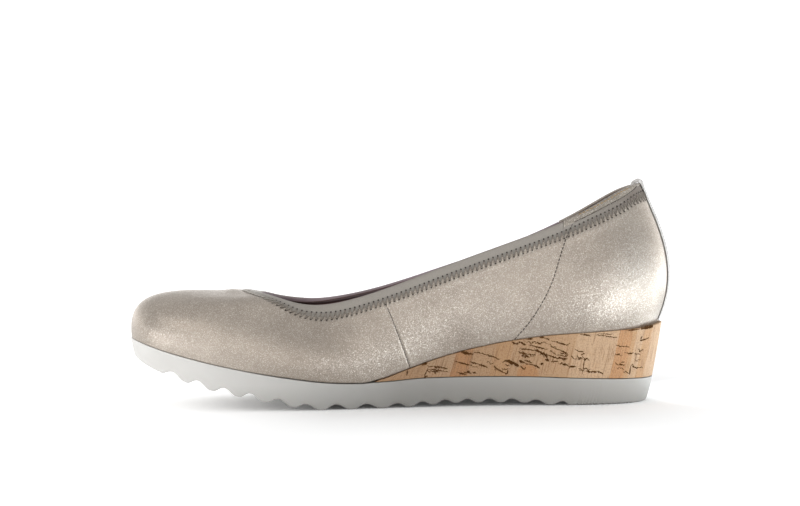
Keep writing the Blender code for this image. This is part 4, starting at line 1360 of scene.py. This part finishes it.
def cork_veneer(name, slab, colours):
    """Cork veneer laid in slanted slices of different tones, with a fine grain across them and painted shade
    towards its front.
    """
    made, shader, tree = new_material(name, colours.cork_tan, CORK_ROUGHNESS)
    unrolled, place = unrolled_of(tree), place_of(tree)
    axes = axes_of(tree, unrolled)
    lean = sums(tree, "MULTIPLY", sums(tree, "SUBTRACT", axes["Y"], SLICE_MIDDLE_Z), SLICE_LEAN)
    leaned = sums(tree, "SUBTRACT", axes["X"], lean)
    ragged = spread(tree, noise(tree, unrolled, *SLICE_EDGES), *SLICE_EDGE_REACH)
    base = slice_tones(tree, slab, colours, sums(tree, "ADD", leaned, ragged))
    across = add_node(tree, "CombineXYZ", {"X": leaned, "Y": axes["Y"]}).outputs["Vector"]
    grain = noise(tree, stretched(tree, across, GRAIN_STRETCH), *CORK_GRAIN)
    lines = noise(tree, stretched(tree, across, LINE_STRETCH), *CORK_LINES)
    pores = noise(tree, unrolled, *CORK_PORES)
    blotches = noise(tree, unrolled, *CORK_BLOTCHES)
    specks = noise(tree, unrolled, *CORK_SPECKS)
    off = vectors(tree, "DISTANCE", {0: stretched(tree, place, SIDE_ON), 1: RUST_CORNER}, "Value")
    layers = (
        (grain, CORK_GRAIN_REACH, colours.cork_pale),
        (blotches, CORK_BLOTCH_REACH, colours.cork_honey),
        (off, RUST_CORNER_REACH, colours.cork_rust),
        (lines, CORK_LINE_REACH, CORK_LINE_COLOUR),
        (specks, CORK_SPECK_REACH, CORK_SPECK_COLOUR),
        (pores, CORK_PORE_REACH, CORK_PORE_COLOUR),
    )
    for value, reach, colour in layers:
        base = mixed(tree, spread(tree, value, *reach), base, colour)
    # Painted shade towards the cork's front
    cork_painted_shade_mask = spread(tree, axes_of(tree, place)["X"], *CORK_PAINTED_SHADE_REACH)
    base = mixed(tree, cork_painted_shade_mask, base, CORK_FRONT_PAINTED_SHADE, "MULTIPLY")
    painted(tree, shader, base, spread(tree, pores, *NOISE_MIDDLE, *CORK_GLOSS))
    relief = sums(tree, "SUBTRACT", grain, spread(tree, pores, *CORK_PORE_DEPTH))
    bumped(tree, shader, relief, *CORK_BUMP)
    return made


def cork_fissure(name, colour):
    """Dark broken bark in the cork's fissures."""
    made, shader, tree = new_material(name, colour, FISSURE_ROUGHNESS)
    shader.inputs["Specular IOR Level"].default_value = FISSURE_SHINE
    crumb = noise(tree, place_of(tree), *FISSURE_CRUMB)
    lighter = toned(colour, FISSURE_TONE)
    painted(tree, shader, mixed(tree, spread(tree, crumb, *FISSURE_CRUMB_REACH), colour, lighter))
    bumped(tree, shader, crumb, *FISSURE_BUMP)
    return made


def moulded_rubber(name, colours):
    """Matt moulded rubber with faint clouds and a fine skin, with painted light at the toe and painted shade
    at the waist and towards the floor.
    """
    made, shader, tree = new_material(name, colours.rubber_heel, RUBBER_ROUGHNESS)
    place = place_of(tree)
    axes = axes_of(tree, place)
    clouds = spread(tree, noise(tree, place, *RUBBER_CLOUDS), *RUBBER_CLOUD_REACH)
    skin = noise(tree, place, *RUBBER_SKIN)
    # Painted light at the toe and painted shade at the waist
    base = mixed(tree, spread(tree, axes["X"], *TOE_TO_WAIST), colours.rubber_toe_painted_light, colours.rubber_waist_painted_shade)
    base = mixed(tree, spread(tree, axes["X"], *WAIST_TO_HEEL), base, colours.rubber_heel)
    # Painted shade towards the floor
    base = mixed(tree, spread(tree, axes["Z"], *RUBBER_FLOOR_SHADE_REACH), base, RUBBER_FLOOR_SHADE, "MULTIPLY")
    base = mixed(tree, clouds, base, RUBBER_CLOUD, "MULTIPLY")
    painted(tree, shader, base, spread(tree, skin, *NOISE_MIDDLE, *RUBBER_GLOSS))
    bumped(tree, shader, skin, *RUBBER_BUMP)
    return made


def floor_paint(name, colour):
    """Matt white floor with the faintest unevenness, which glows more where the table says."""
    made, shader, tree = new_material(name, colour, FLOOR_ROUGHNESS)
    place = place_of(tree)
    painted(tree, shader, mixed(tree, noise(tree, place, *FLOOR_CLOUDS), colour, toned(colour, FLOOR_TONE)))
    axes = axes_of(tree, place)
    glow = FLOOR_GLOW
    for row in FLOOR_GLOWS:
        glow = spread(tree, axes[row.axis], row.start, row.end, glow, row.glow)
    tree.links.new(glow, shader.inputs["Emission Strength"])
    shader.inputs["Emission Color"].default_value = (1.0, 1.0, 1.0, 1.0)
    return made


# Pieces


def seam_line(rows, mirror=False):
    """Places, depths and points along a seam from the foot of the wall up; mirrored, on the outer side."""
    share = np.linspace(rows[0].share, rows[-1].share, SEAM_POINTS)
    place = height_at(rows, share)
    place = 2 * HEEL_PLACE - place if mirror else place
    below = (1 - share) * wall_length(place)
    return place, below, on_wall(place, below)[0]


def seam_relief(s, points, rows, mirror, depth, width, ridge):
    """Trough along a seam, and a ridge beside it on the heel's side."""
    place, _, line = seam_line(rows, mirror)
    tree = KDTree(len(line))
    for i, point in enumerate(line):
        tree.insert(Vector(point), i)
    tree.balance()
    relief = np.zeros(points.shape[:2])
    near = np.nonzero((s > place.min() - SEAM_ROOM) & (s < place.max() + SEAM_ROOM))[0]
    for i in near:
        for j, point in enumerate(points[i]):
            found, _, distance = tree.find(Vector(point))
            relief[i, j] -= depth * np.exp(-((distance / width) ** 2))
            if point[0] > found[0]:
                off = (distance - RIDGE_OFF * width) / (RIDGE_WIDTH * width)
                relief[i, j] += ridge * np.exp(-(off**2))
    return relief


def wavy_relief(s, below):
    """The leather's faint unevenness over the last."""
    turn = 2 * HALF_TURN * s[:, None] / GIRTH
    rows = (*BROAD_RIPPLES, FINE_RIPPLE)
    first, second, fine = (np.sin(row.turns * turn + below / row.down) for row in rows)
    return BROAD_RIPPLE_HEIGHT * (first * second) + FINE_RIPPLE_HEIGHT * fine


def zigzag_lines(sizes, s):
    """Distances of the upper and the lower needle holes below the topline at places s."""
    far = np.abs(np.asarray(s) % GIRTH - HEEL_PLACE)
    top = sizes.zigzag_top / MM + height_at([(row.far, row.top) for row in ZIGZAG_DROPS], far)
    foot = sizes.zigzag_foot / MM + height_at([(row.far, row.foot) for row in ZIGZAG_DROPS], far)
    return top, foot


def zigzag_places(sizes):
    """Places round the topline of the zigzag's upper needle holes; the lower ones lie half way between."""
    middle = (sizes.zigzag_top + sizes.zigzag_foot) / 2 / MM
    return even_places(0.0, GIRTH, middle, sizes.zigzag_pitch / MM)


def zigzag_wave(sizes, s):
    """1 at the places of the upper needle holes and -1 at the lower ones."""
    upper = zigzag_places(sizes)
    return np.cos(2 * HALF_TURN * np.interp(s % GIRTH, upper, np.arange(len(upper))))


def zigzag_columns(sizes, start, end):
    """Places from start to end, a whole number of them to each zigzag; end may lie past the toe tip."""
    upper = zigzag_places(sizes)
    count = len(upper) - 1
    columns = np.arange(count * COLUMNS_PER_ZIGZAG) / COLUMNS_PER_ZIGZAG
    one_turn = np.interp(columns, np.arange(count + 1), upper)
    two_turns = np.concatenate([one_turn, one_turn + GIRTH])
    return two_turns[(two_turns >= start) & (two_turns < end)]


def make_upper(sizes, colours):
    """The leather of the upper, with its seams pressed in and its foot turned under."""
    s = zigzag_columns(sizes, 0.0, GIRTH)
    length = wall_length(s)[:, None]
    turned = np.array(TUCK_ROWS)[None, :]
    wall_share = np.linspace(0, 1, WALL_ROWS + 1)[None, 1:]
    rise = turned[:, -1:] + wall_share * (length - EDGE_DEPTH - turned[:, -1:])
    edge_share = np.linspace(0, 1, EDGE_ROWS + 1)[None, 1:]
    edge = length - EDGE_DEPTH + edge_share * (EDGE_DEPTH - BAND_HEIGHT)
    height = np.hstack([np.repeat(turned, len(s), axis=0), rise, edge])
    below = length - height
    points, normals = wall_frame(s, below)
    foot = zigzag_lines(sizes, s)[1][:, None]
    relief = wavy_relief(s, below) * np.clip(height / RIPPLE_FOOT, 0, 1)
    pucker = np.exp(-(((below - foot) / PUCKER_WIDTH) ** 2))
    relief += PUCKER_HEIGHT * zigzag_wave(sizes, s)[:, None] * pucker
    relief += BULGE_HEIGHT * np.exp(-(((below - foot - BULGE_BELOW) / BULGE_WIDTH) ** 2))
    width = sizes.seam_width / MM
    for row in SEAMS:
        depth = row.depth_share * (sizes.seam_depth / MM)
        relief += seam_relief(s, points, row.rows, row.mirror, depth, width, row.ridge)
    foot_x = np.clip(points[:, 0, 0], TUCKS[0][0], TUCKS[-1][0])
    tuck = height_at(TUCKS, foot_x)[:, None]
    inset = np.clip(tuck - height, 0, tuck)
    relief -= tuck - np.sqrt(tuck**2 - inset**2)
    outer = points + normals * relief[..., None]
    outer[..., 2] -= height_at(FOOT_DROPS, foot_x)[:, None] * np.clip(1 - height / FOOT_DROP_HEIGHT, 0, 1)
    inner_rows = np.linspace(0, below.shape[1] - 1, INNER_ROWS).astype(int)
    inner = points[:, inner_rows] - normals[:, inner_rows] * LEATHER_SKIN
    inner[:, 0, 2] = outer[:, 0, 2]
    rings = np.concatenate([outer, inner[:, ::-1]], axis=1)
    looks = (colours.suede, colours.suede_shade, colours.glitter, SUEDE_METALLIC)
    material = metallic_suede("champagne metallic suede", *looks)
    faces = [ring_quads(len(rings), rings.shape[1], True)]
    new_piece("upper_leather", rings, faces, material, "upper")


def make_lining(colours):
    """The leather lining inside the upper."""
    s = crowded_places(0.0, GIRTH, LINING_STEP)[:-1]
    length = wall_length(s)[:, None]
    below = length + np.linspace(0, 1, LINING_ROWS + 1)[None, :] * (LINING_TOP - length)
    run, down, fade = LINING_RIPPLE
    faint = LINING_RIPPLE_HEIGHT * np.sin(s[:, None] / run + below / down) * np.sin(below / fade)
    rolled = LINING_ROLL * np.exp(-((below / LINING_ROLL_DEPTH) ** 2))
    outer = wall(s, below, -LEATHER_SKIN - LINING_GAP)
    inner = wall(s, below, -LEATHER + faint - rolled)
    inner[:, 0, 2] = outer[:, 0, 2]
    rings = np.concatenate([outer, inner[:, ::-1]], axis=1)
    material = smooth_leather("mauve brown lining", colours.lining, LINING_ROUGHNESS)
    faces = [ring_quads(len(rings), rings.shape[1], True)]
    new_piece("upper_lining", rings, faces, material)


def collar_line(s):
    """How far below the topline the collar's dark stitches lie."""
    return height_at(COLLAR_LINE, np.abs(s - HEEL_PLACE))


def fold_path(reach, proud, crest, inside):
    """A tape's path over the topline, up from its lower outer edge to the crest, and what lies inside."""
    rising = [(proud - row.back, row.up - row.reach_share * reach) for row in TAPE_FOLD]
    return [(TAPE_FOOT_OUT, -reach), *rising, (proud - CREST_BACK, crest - CREST_DROP), *inside]


def folded_tape(name, s, reach, band, path, material, node=None):
    """A tape along the topline, shaped by a path of (out, up) points that starts at its lower outer edge.

    reach says for each place how far down that edge lies, and the path is stretched to it. band is where the
    tape starts to be sewn down.
    """
    ring = thickened(rounded_path(path, TAPE_STEP), TAPE_SKIN)
    out, below = ring[:, 0], -ring[:, 1]
    outside = out > -LEATHER / 2
    stretch = np.where(outside & (below > 0), reach[:, None] / -path[0][1], 1.0)
    below = below[None, :] * stretch
    points = wall(s, below, out[None, :])
    uv = np.stack(np.broadcast_arrays(s[:, None], below / band[:, None]), axis=-1)
    new_piece(name, points, strip_faces(points), material, node, uv)


def scalloped_edge(sizes, s):
    """Where the elastic starts to be sewn down, and how far down its scalloped edge lies."""
    top, foot = zigzag_lines(sizes, s)
    return top, foot - TAPE_SHORT - SCALLOP * zigzag_wave(sizes, s)


def make_bands(sizes, colours):
    """The elastic round the topline, and the leather collar over it round the heel."""
    inner_end, outer_end = topline_place(COUNTER_X, True), topline_place(COUNTER_X, False)
    elastic = woven_elastic("grey taupe elastic", colours.elastic, colours.heel_elastic)
    looks = (colours.collar, toned(colours.collar, COLLAR_DARKER), colours.glitter, COLLAR_METALLIC)
    leather = metallic_suede("champagne collar leather", *looks)
    typical = sizes.zigzag_foot / MM - TAPE_SHORT

    throat = zigzag_columns(sizes, outer_end, inner_end + GIRTH)
    top, reach = scalloped_edge(sizes, throat)
    path = fold_path(typical, BAND_PROUD, 0.0, [ELASTIC_END])
    folded_tape("topline_elastic", throat, reach, top, path, elastic, "topline_binding")
    lap = np.full_like(throat, LINING_TOP)
    rolled = smooth_leather("mauve rolled lining", colours.lining_roll, LINING_ROUGHNESS)
    folded_tape("lining_roll", throat, lap, lap, ROLL_PATH, rolled)

    heel = zigzag_columns(sizes, inner_end - HEEL_ELASTIC_LAP, outer_end + HEEL_ELASTIC_LAP)
    top, reach = scalloped_edge(sizes, heel)
    path = [(out, up - share * typical) for out, share, up in HEEL_ELASTIC]
    folded_tape("heel_elastic", heel, reach, top, path, elastic)

    collar = zigzag_columns(sizes, inner_end, outer_end)
    reach = collar_line(collar) + COLLAR_MARGIN
    path = fold_path(COLLAR_TYPICAL, COLLAR_PROUD, COLLAR_RISE, COLLAR_INSIDE)
    folded_tape("collar_leather_band", collar, reach, reach, path, leather, "heel_collar")


def make_back_strap(colours):
    """The strap up the back of the heel, turned over the collar into the shoe in a thick fold."""
    length = float(wall_length(np.array([HEEL_PLACE]))[0])
    heights = np.linspace(STRAP_FOOT_CLEARANCE, length - STRAP_STRAIGHT_END, STRAP_STRAIGHT)
    path = [(STRAP_STANDOFF, height - length) for height in heights]
    ring_path = rounded_path([*path, *STRAP_OVER], STRAP_STEP)
    over = np.exp(-((np.arange(len(ring_path)) - np.argmax(ring_path[:, 1])) / FOLD_LENGTH) ** 2)
    across = np.linspace(-1, 1, STRAP_COLUMNS)
    rings = []
    for place in across:
        middle = np.sqrt(max(0.0, 1 - abs(place) ** STRAP_EDGE_POWER))
        thickness = (STRAP_SKIN + FOLD_EXTRA * over) * (STRAP_EDGE + (1 - STRAP_EDGE) * middle)
        rings.append(thickened(ring_path, -thickness[:, None]))
    rings = np.array(rings)
    s = HEEL_PLACE + across * STRAP_HALF_WIDTH
    points = wall(s, -rings[..., 1], rings[..., 0])
    uv = np.stack(np.broadcast_arrays(s[:, None], -rings[..., 1]), axis=-1)
    material = strap_leather("champagne strap leather", colours.strap, colours.strap_painted_shade)
    faces = strip_faces(points)
    new_piece("back_strap_leather", points, faces, material, "back_strap", uv)


def sew(name, ends, lift, half_width, material):
    """A piece of threads between pairs of (place, below) ends, arched over the leather."""
    ends = np.asarray(ends, float)
    share, arch = np.array(STITCH_SHAPE).T
    line = ends[:, :1] + (ends[:, 1:] - ends[:, :1]) * share[None, :, None]
    points, normals = on_wall(line[..., 0], line[..., 1])
    lifted = points + normals * (lift + arch * half_width * STITCH_ARCH)[None, :, None]
    points, faces = threads(lifted, normals, half_width, half_width)
    new_piece(name, points, faces, material)


def make_zigzag(sizes, colours):
    """The zigzag along the topline outside and inside, and its needle holes."""
    places = zigzag_places(sizes)
    upper, after = places[:-1], places[1:]
    lower = (upper + after) / 2
    top, next_top = (zigzag_lines(sizes, s)[0] for s in (upper, after))
    foot = zigzag_lines(sizes, lower)[1]
    holes = [np.stack(pair, 1) for pair in ((upper, top), (lower, foot), (after, next_top))]
    down, rise = np.stack(holes[:2], 1), np.stack(holes[1:], 1)
    half = sizes.thread / MM / 2
    material = twisted_thread("taupe zigzag thread", colours.thread, True)
    for name, lift in ZIGZAG_LIFTS.items():
        sew(name, np.concatenate([down, rise]), lift, half, material)
    depths = np.concatenate([top - HOLE_OFF, foot + HOLE_OFF])
    lifts = np.repeat(HOLE_LIFTS, len(upper))
    points, faces = pins(np.concatenate([upper, lower]), depths, lifts, sizes.hole / MM / 2)
    # Painted shade inside the needle holes
    material = twisted_thread("needle hole", colours.hole, True)
    new_piece("zigzag_needle_holes", points, faces, material)


def pins(places, below, lifts, radius):
    """Small dark cups where a needle went through, sunk into the surface."""
    points, normals = on_wall(places, below)
    side = unit(np.cross(normals, UPWARDS))
    up = np.cross(normals, side)
    sides = HOLE_SIDES
    turn = np.arange(sides) * 2 * HALF_TURN / sides
    centre = points + normals * lifts[:, None]
    rim = centre[:, None] + radius * (
        side[:, None] * np.cos(turn)[None, :, None] + up[:, None] * np.sin(turn)[None, :, None]
    )
    cup = centre - normals * HOLE_CUP
    tail = centre - normals * HOLE_TAIL
    made = np.concatenate([rim, cup[:, None], tail[:, None]], axis=1)
    start = np.arange(len(made))[:, None, None] * (sides + 2)
    i = np.arange(sides)
    after = (i + 1) % sides
    faces = np.concatenate(
        [np.stack([i, after, np.full(sides, sides)], 1), np.stack([after, i, np.full(sides, sides + 1)], 1)]
    )
    return made.reshape(-1, 3), [(start + faces[None]).reshape(-1, 3)]


def spaced_stitches(place, below, points, pitch, length):
    """Pairs of ends of stitches that lie pitch apart along a line of points."""
    far = run_length(points)
    starts = np.arange(FIRST_STITCH, far[-1] - length, pitch)
    ends = []
    for start in starts:
        pair = np.array([start, start + length])
        ends.append(np.column_stack([np.interp(pair, far, place), np.interp(pair, far, below)]))
    return ends


def make_seam_stitches(sizes, colours):
    """Dark stitches of the waist seam, both counters and the collar, and the ochre ones along its edge."""
    dark = twisted_thread("dark seam thread", colours.seam_thread)
    pitch, length = sizes.stitch_pitch / MM, sizes.stitch_length / MM
    ends = []
    for mirror in (False, True):
        ends += spaced_stitches(*seam_line(COUNTER_SEAM, mirror), pitch, length)
    over = [pair for pair in ends if pair[:, 1].mean() < COUNTER_BAND]
    lower = [pair for pair in ends if pair[:, 1].mean() >= COUNTER_BAND]
    stitches = (
        ("counter_stitches", lower, 0.0, COUNTER_HALF),
        ("counter_band_stitches", over, BAND_PROUD, COUNTER_BAND_HALF),
    )
    for name, pairs, lift, half in stitches:
        sew(name, pairs, COUNTER_STITCH_LIFT + lift, half, dark)
    ends = spaced_stitches(*seam_line(WAIST_SEAM), WAIST_PITCH, WAIST_STITCH)
    sew("waist_seam_stitches", ends, WAIST_LIFT, WAIST_HALF, dark)
    ochre = twisted_thread("ochre edge thread", colours.ochre_thread)
    rows = (
        ("collar_dark_stitches", COLLAR_LINE[1:-1], COLLAR_PROUD, COLLAR_HALF, pitch, dark),
        ("collar_ochre_stitches", OCHRE_LINE, OCHRE_LIFT, OCHRE_HALF, length, ochre),
    )
    for name, line, lift, half, length, material in rows:
        ends = []
        far = np.linspace(line[0][0], line[-1][0], SEAM_POINTS)
        below = height_at(line, far)
        for side in (-1, 1):
            s = HEEL_PLACE + side * far
            ends += spaced_stitches(s, below, on_wall(s, below)[0], pitch, length)
        sew(name, ends, lift, half, material)


def sock_hollow(share):
    """Height of the cupped sock at a share of its width, from its edges down."""
    return -SOCK_CUP * (1 - (2 * share - 1) ** SOCK_CUP_POWER)


def make_sock(colours):
    """The leather sock on the footbed, slightly cupped."""
    edge = Outline(lambda x: np.full_like(x, -INSOLE_INSET))
    shares = slab_shares(0.0, SOCK_STEP_SHARE)
    slab = Slab(edge, edge, shares, lambda x: seat_z(x) + INSOLE_THICKNESS, seat_z, SOCK_RIMS, SOCK_LEVELS)
    points, faces, _ = slab.mesh(sock_hollow, SOCK_COLUMNS)
    material = smooth_leather("taupe sock leather", colours.sock, SOCK_ROUGHNESS)
    new_piece("footbed_sock", points, faces, material, "insole")


def all_fissures(chance):
    """The main fissures, and the small wavering cracks of the patches."""
    found = list(FISSURES)
    for patch in CRACK_PATCHES:
        for _ in range(patch.count):
            x = chance.uniform(patch.x_start, patch.x_end)
            z = chance.uniform(patch.z_low, patch.z_high)
            steps = np.concatenate([[0.0], np.cumsum(chance.uniform(*CRACK_STEPS, CRACK_TURNS))])
            turns = chance.normal(0.0, CRACK_WAVER, CRACK_TURNS + 1)
            path = np.column_stack([x + steps, z + CRACK_SLOPE * steps + turns])
            found.append(Fissure(chance.uniform(*CRACK_WIDTHS), path))
    return found


def make_wedge(colours):
    """The cork wedge and the dark fissures in its veneer."""
    top_edge, low_edge = Outline(edge_offset("wedge_top")), Outline(edge_offset("sole_top"))
    shares = slab_shares(top_edge.share(WEDGE_FRONT_X), WEDGE_STEP_SHARE)
    looks = (WEDGE_RIMS, WEDGE_LEVELS, WEDGE_SWELL)
    slab = Slab(top_edge, low_edge, shares, lambda x: seat_z(x) - GAP, under_wedge_z, *looks)
    points, faces, uv = slab.mesh()
    new_piece("cork_wedge", points, faces, cork_veneer("cork veneer", slab, colours), "wedge", uv)
    share = np.linspace(0, 1, FISSURE_STEPS)
    swell = np.sin(HALF_TURN * np.clip(share, *FISSURE_ENDS)) ** FISSURE_BLUNT
    taper = FISSURE_TIP + (1 - FISSURE_TIP) * swell
    chance = np.random.default_rng(CRACK_SEED)
    paths, normals, widths = [], [], []
    for number, row in enumerate(all_fissures(chance)):
        x, z = rounded_path(row.path, count=FISSURE_STEPS).T
        z = z + chance.normal(0.0, FISSURE_RAGGED, FISSURE_STEPS)
        z = np.clip(z, under_wedge_z(x) + FISSURE_ROOM, seat_z(x) - GAP - FISSURE_ROOM)
        wave = FISSURE_SWELL * np.sin(share * FISSURE_SWELL_TURN + FISSURE_SWELL_SHIFT * number)
        swollen = 1 + wave + chance.uniform(*FISSURE_JITTER, FISSURE_STEPS)
        near = slab.place_at(x, z)
        for far in (near, float(slab.along[-1]) - near - FAR_SIDE_SHIFT):
            points, normal = slab.at(far, z)
            paths.append(points)
            normals.append(normal)
            widths.append(row.width / 2 * taper * swollen)
    points, faces = threads(paths, normals, np.array(widths), FISSURE_HALF_HEIGHT)
    new_piece("cork_fissures", points, faces, cork_fissure("dark cork fissure", colours.fissure))


def make_outsole(colours):
    """The moulded rubber sole with its lugs and the fine ribs of the heel."""
    top_edge, low_edge = Outline(edge_offset("sole_top")), Outline(edge_offset("tread"))
    length = low_edge.heel_x - low_edge.toe_x
    ribs = (low_edge.share(RIB_START_X), low_edge.share(RIB_END_X), RIB_STEP / length)
    shares = slab_shares(0.0, SOLE_STEP / length, [ribs])
    slab = Slab(top_edge, low_edge, shares, sole_top_z, tread_z, SOLE_RIMS, SOLE_LEVELS, SOLE_SWELL)
    points, faces, uv = slab.mesh()
    material = moulded_rubber("pale grey rubber", colours)
    new_piece("rubber_outsole", points, faces, material, "outsole", uv)


# Stage


def make_floor(colours):
    """A plain pale floor."""
    mesh = bpy.data.meshes.new("studio_floor")
    half = FLOOR_HALF
    corners = [(-half, -half, 0), (half, -half, 0), (half, half, 0), (-half, half, 0)]
    mesh.from_pydata(corners, [], [(0, 1, 2, 3)])
    mesh.materials.append(floor_paint("white studio floor", colours.floor))
    floor = bpy.data.objects.new("studio_floor", mesh)
    bpy.context.scene.collection.objects.link(floor)


def make_lights():
    """Large softboxes round the shoe and a pale sky."""
    for row in SOFTBOXES:
        light = bpy.data.lights.new(row.name, "AREA")
        light.shape = "RECTANGLE"
        light.size, light.size_y = row.width, row.height
        light.energy = row.power
        light.color = row.colour
        made = bpy.data.objects.new(row.name, light)
        made.location = row.place
        aim = Vector(row.aim) - Vector(row.place)
        made.rotation_euler = aim.to_track_quat("-Z", "Y").to_euler()
        made.visible_camera = False
        bpy.context.scene.collection.objects.link(made)
    spot = bpy.data.lights.new("heel spot", "SPOT")
    spot.spot_size = HEEL_SPOT_CONE
    spot.spot_blend = 1.0
    spot.energy = HEEL_SPOT_POWER
    spot.color = COOL_WHITE
    made = bpy.data.objects.new("heel spot", spot)
    made.location = HEEL_SPOT_PLACE
    bpy.context.scene.collection.objects.link(made)
    world = bpy.data.worlds.new("pale studio")
    world.use_nodes = True
    tree = world.node_tree
    background = tree.nodes["Background"]
    axes = axes_of(tree, add_node(tree, "TexCoord").outputs["Generated"])
    sides = mixed(tree, spread(tree, axes["Y"], *SKY_BACK_REACH), SKY_FRONT, SKY_BACK)
    sky = mixed(tree, spread(tree, axes["Z"], *SKY_TOP_REACH), sides, SKY_TOP)
    tree.links.new(sky, background.inputs["Color"])
    background.inputs["Strength"].default_value = 1.0
    bpy.context.scene.world = world


def make_camera():
    """A camera where the photograph was taken from."""
    lens = bpy.data.cameras.new("photo camera")
    lens.sensor_width = SENSOR_WIDTH
    lens.lens = CAMERA_LENS
    camera = bpy.data.objects.new("photo camera", lens)
    tilt = Matrix.Rotation(np.pi / 2 - CAMERA_PITCH, 4, "X") @ Matrix.Rotation(CAMERA_ROLL, 4, "Z")
    camera.matrix_world = Matrix.Translation(CAMERA_PLACE) @ tilt
    bpy.context.scene.collection.objects.link(camera)
    bpy.context.scene.camera = camera
    bpy.context.scene.view_settings.view_transform = "Standard"


# Operators


class PUMP_OT_stage(bpy.types.Operator):
    """Set up the floor, the lights and the camera"""

    bl_idname = "pump.stage"
    bl_label = "Stage"

    def execute(self, context):
        make_floor(context.scene.pump_colours)
        make_lights()
        make_camera()
        return {"FINISHED"}


class PUMP_OT_upper(bpy.types.Operator):
    """Build the leather upper and its lining"""

    bl_idname = "pump.upper"
    bl_label = "Upper and lining"

    def execute(self, context):
        make_upper(context.scene.pump_sizes, context.scene.pump_colours)
        make_lining(context.scene.pump_colours)
        return {"FINISHED"}


class PUMP_OT_bands(bpy.types.Operator):
    """Build the elastic, the heel collar and the back strap"""

    bl_idname = "pump.bands"
    bl_label = "Elastic, collar and strap"

    def execute(self, context):
        make_bands(context.scene.pump_sizes, context.scene.pump_colours)
        make_back_strap(context.scene.pump_colours)
        return {"FINISHED"}


class PUMP_OT_stitching(bpy.types.Operator):
    """Sew the zigzag and the seams"""

    bl_idname = "pump.stitching"
    bl_label = "Stitching"

    def execute(self, context):
        make_zigzag(context.scene.pump_sizes, context.scene.pump_colours)
        make_seam_stitches(context.scene.pump_sizes, context.scene.pump_colours)
        return {"FINISHED"}


class PUMP_OT_sock(bpy.types.Operator):
    """Lay the leather sock on the footbed"""

    bl_idname = "pump.sock"
    bl_label = "Sock"

    def execute(self, context):
        make_sock(context.scene.pump_colours)
        return {"FINISHED"}


class PUMP_OT_wedge(bpy.types.Operator):
    """Build the cork wedge with its fissures"""

    bl_idname = "pump.wedge"
    bl_label = "Cork wedge"

    def execute(self, context):
        make_wedge(context.scene.pump_colours)
        return {"FINISHED"}


class PUMP_OT_outsole(bpy.types.Operator):
    """Build the rubber outsole"""

    bl_idname = "pump.outsole"
    bl_label = "Rubber outsole"

    def execute(self, context):
        make_outsole(context.scene.pump_colours)
        return {"FINISHED"}


PIECE_OPERATORS = (
    PUMP_OT_stage,
    PUMP_OT_upper,
    PUMP_OT_bands,
    PUMP_OT_stitching,
    PUMP_OT_sock,
    PUMP_OT_wedge,
    PUMP_OT_outsole,
)


class PUMP_PT_sidebar(bpy.types.Panel):
    """Lists the pieces of the pump with their sizes and colours"""

    bl_idname = "PUMP_PT_sidebar"
    bl_label = "Cork wedge pump"
    bl_space_type = "VIEW_3D"
    bl_region_type = "UI"
    bl_category = "Pump"

    def draw(self, context):
        for operator in PIECE_OPERATORS:
            self.layout.operator(operator.bl_idname)
        for group in (context.scene.pump_sizes, context.scene.pump_colours):
            column = self.layout.column(align=True)
            for key in group.__annotations__:
                column.prop(group, key)


CLASSES = (PumpSizes, PumpColours, *PIECE_OPERATORS, PUMP_PT_sidebar)


def register():
    """Register the classes and their settings."""
    for made in CLASSES:
        bpy.utils.register_class(made)
    bpy.types.Scene.pump_sizes = PointerProperty(type=PumpSizes)
    bpy.types.Scene.pump_colours = PointerProperty(type=PumpColours)


def unregister():
    """Remove the settings and the classes."""
    del bpy.types.Scene.pump_colours
    del bpy.types.Scene.pump_sizes
    for made in reversed(CLASSES):
        bpy.utils.unregister_class(made)


def main():
    """Build every piece in order."""
    register()
    bpy.ops.pump.stage()
    bpy.ops.pump.upper()
    bpy.ops.pump.bands()
    bpy.ops.pump.stitching()
    bpy.ops.pump.sock()
    bpy.ops.pump.wedge()
    bpy.ops.pump.outsole()


if __name__ == "__main__":
    main()
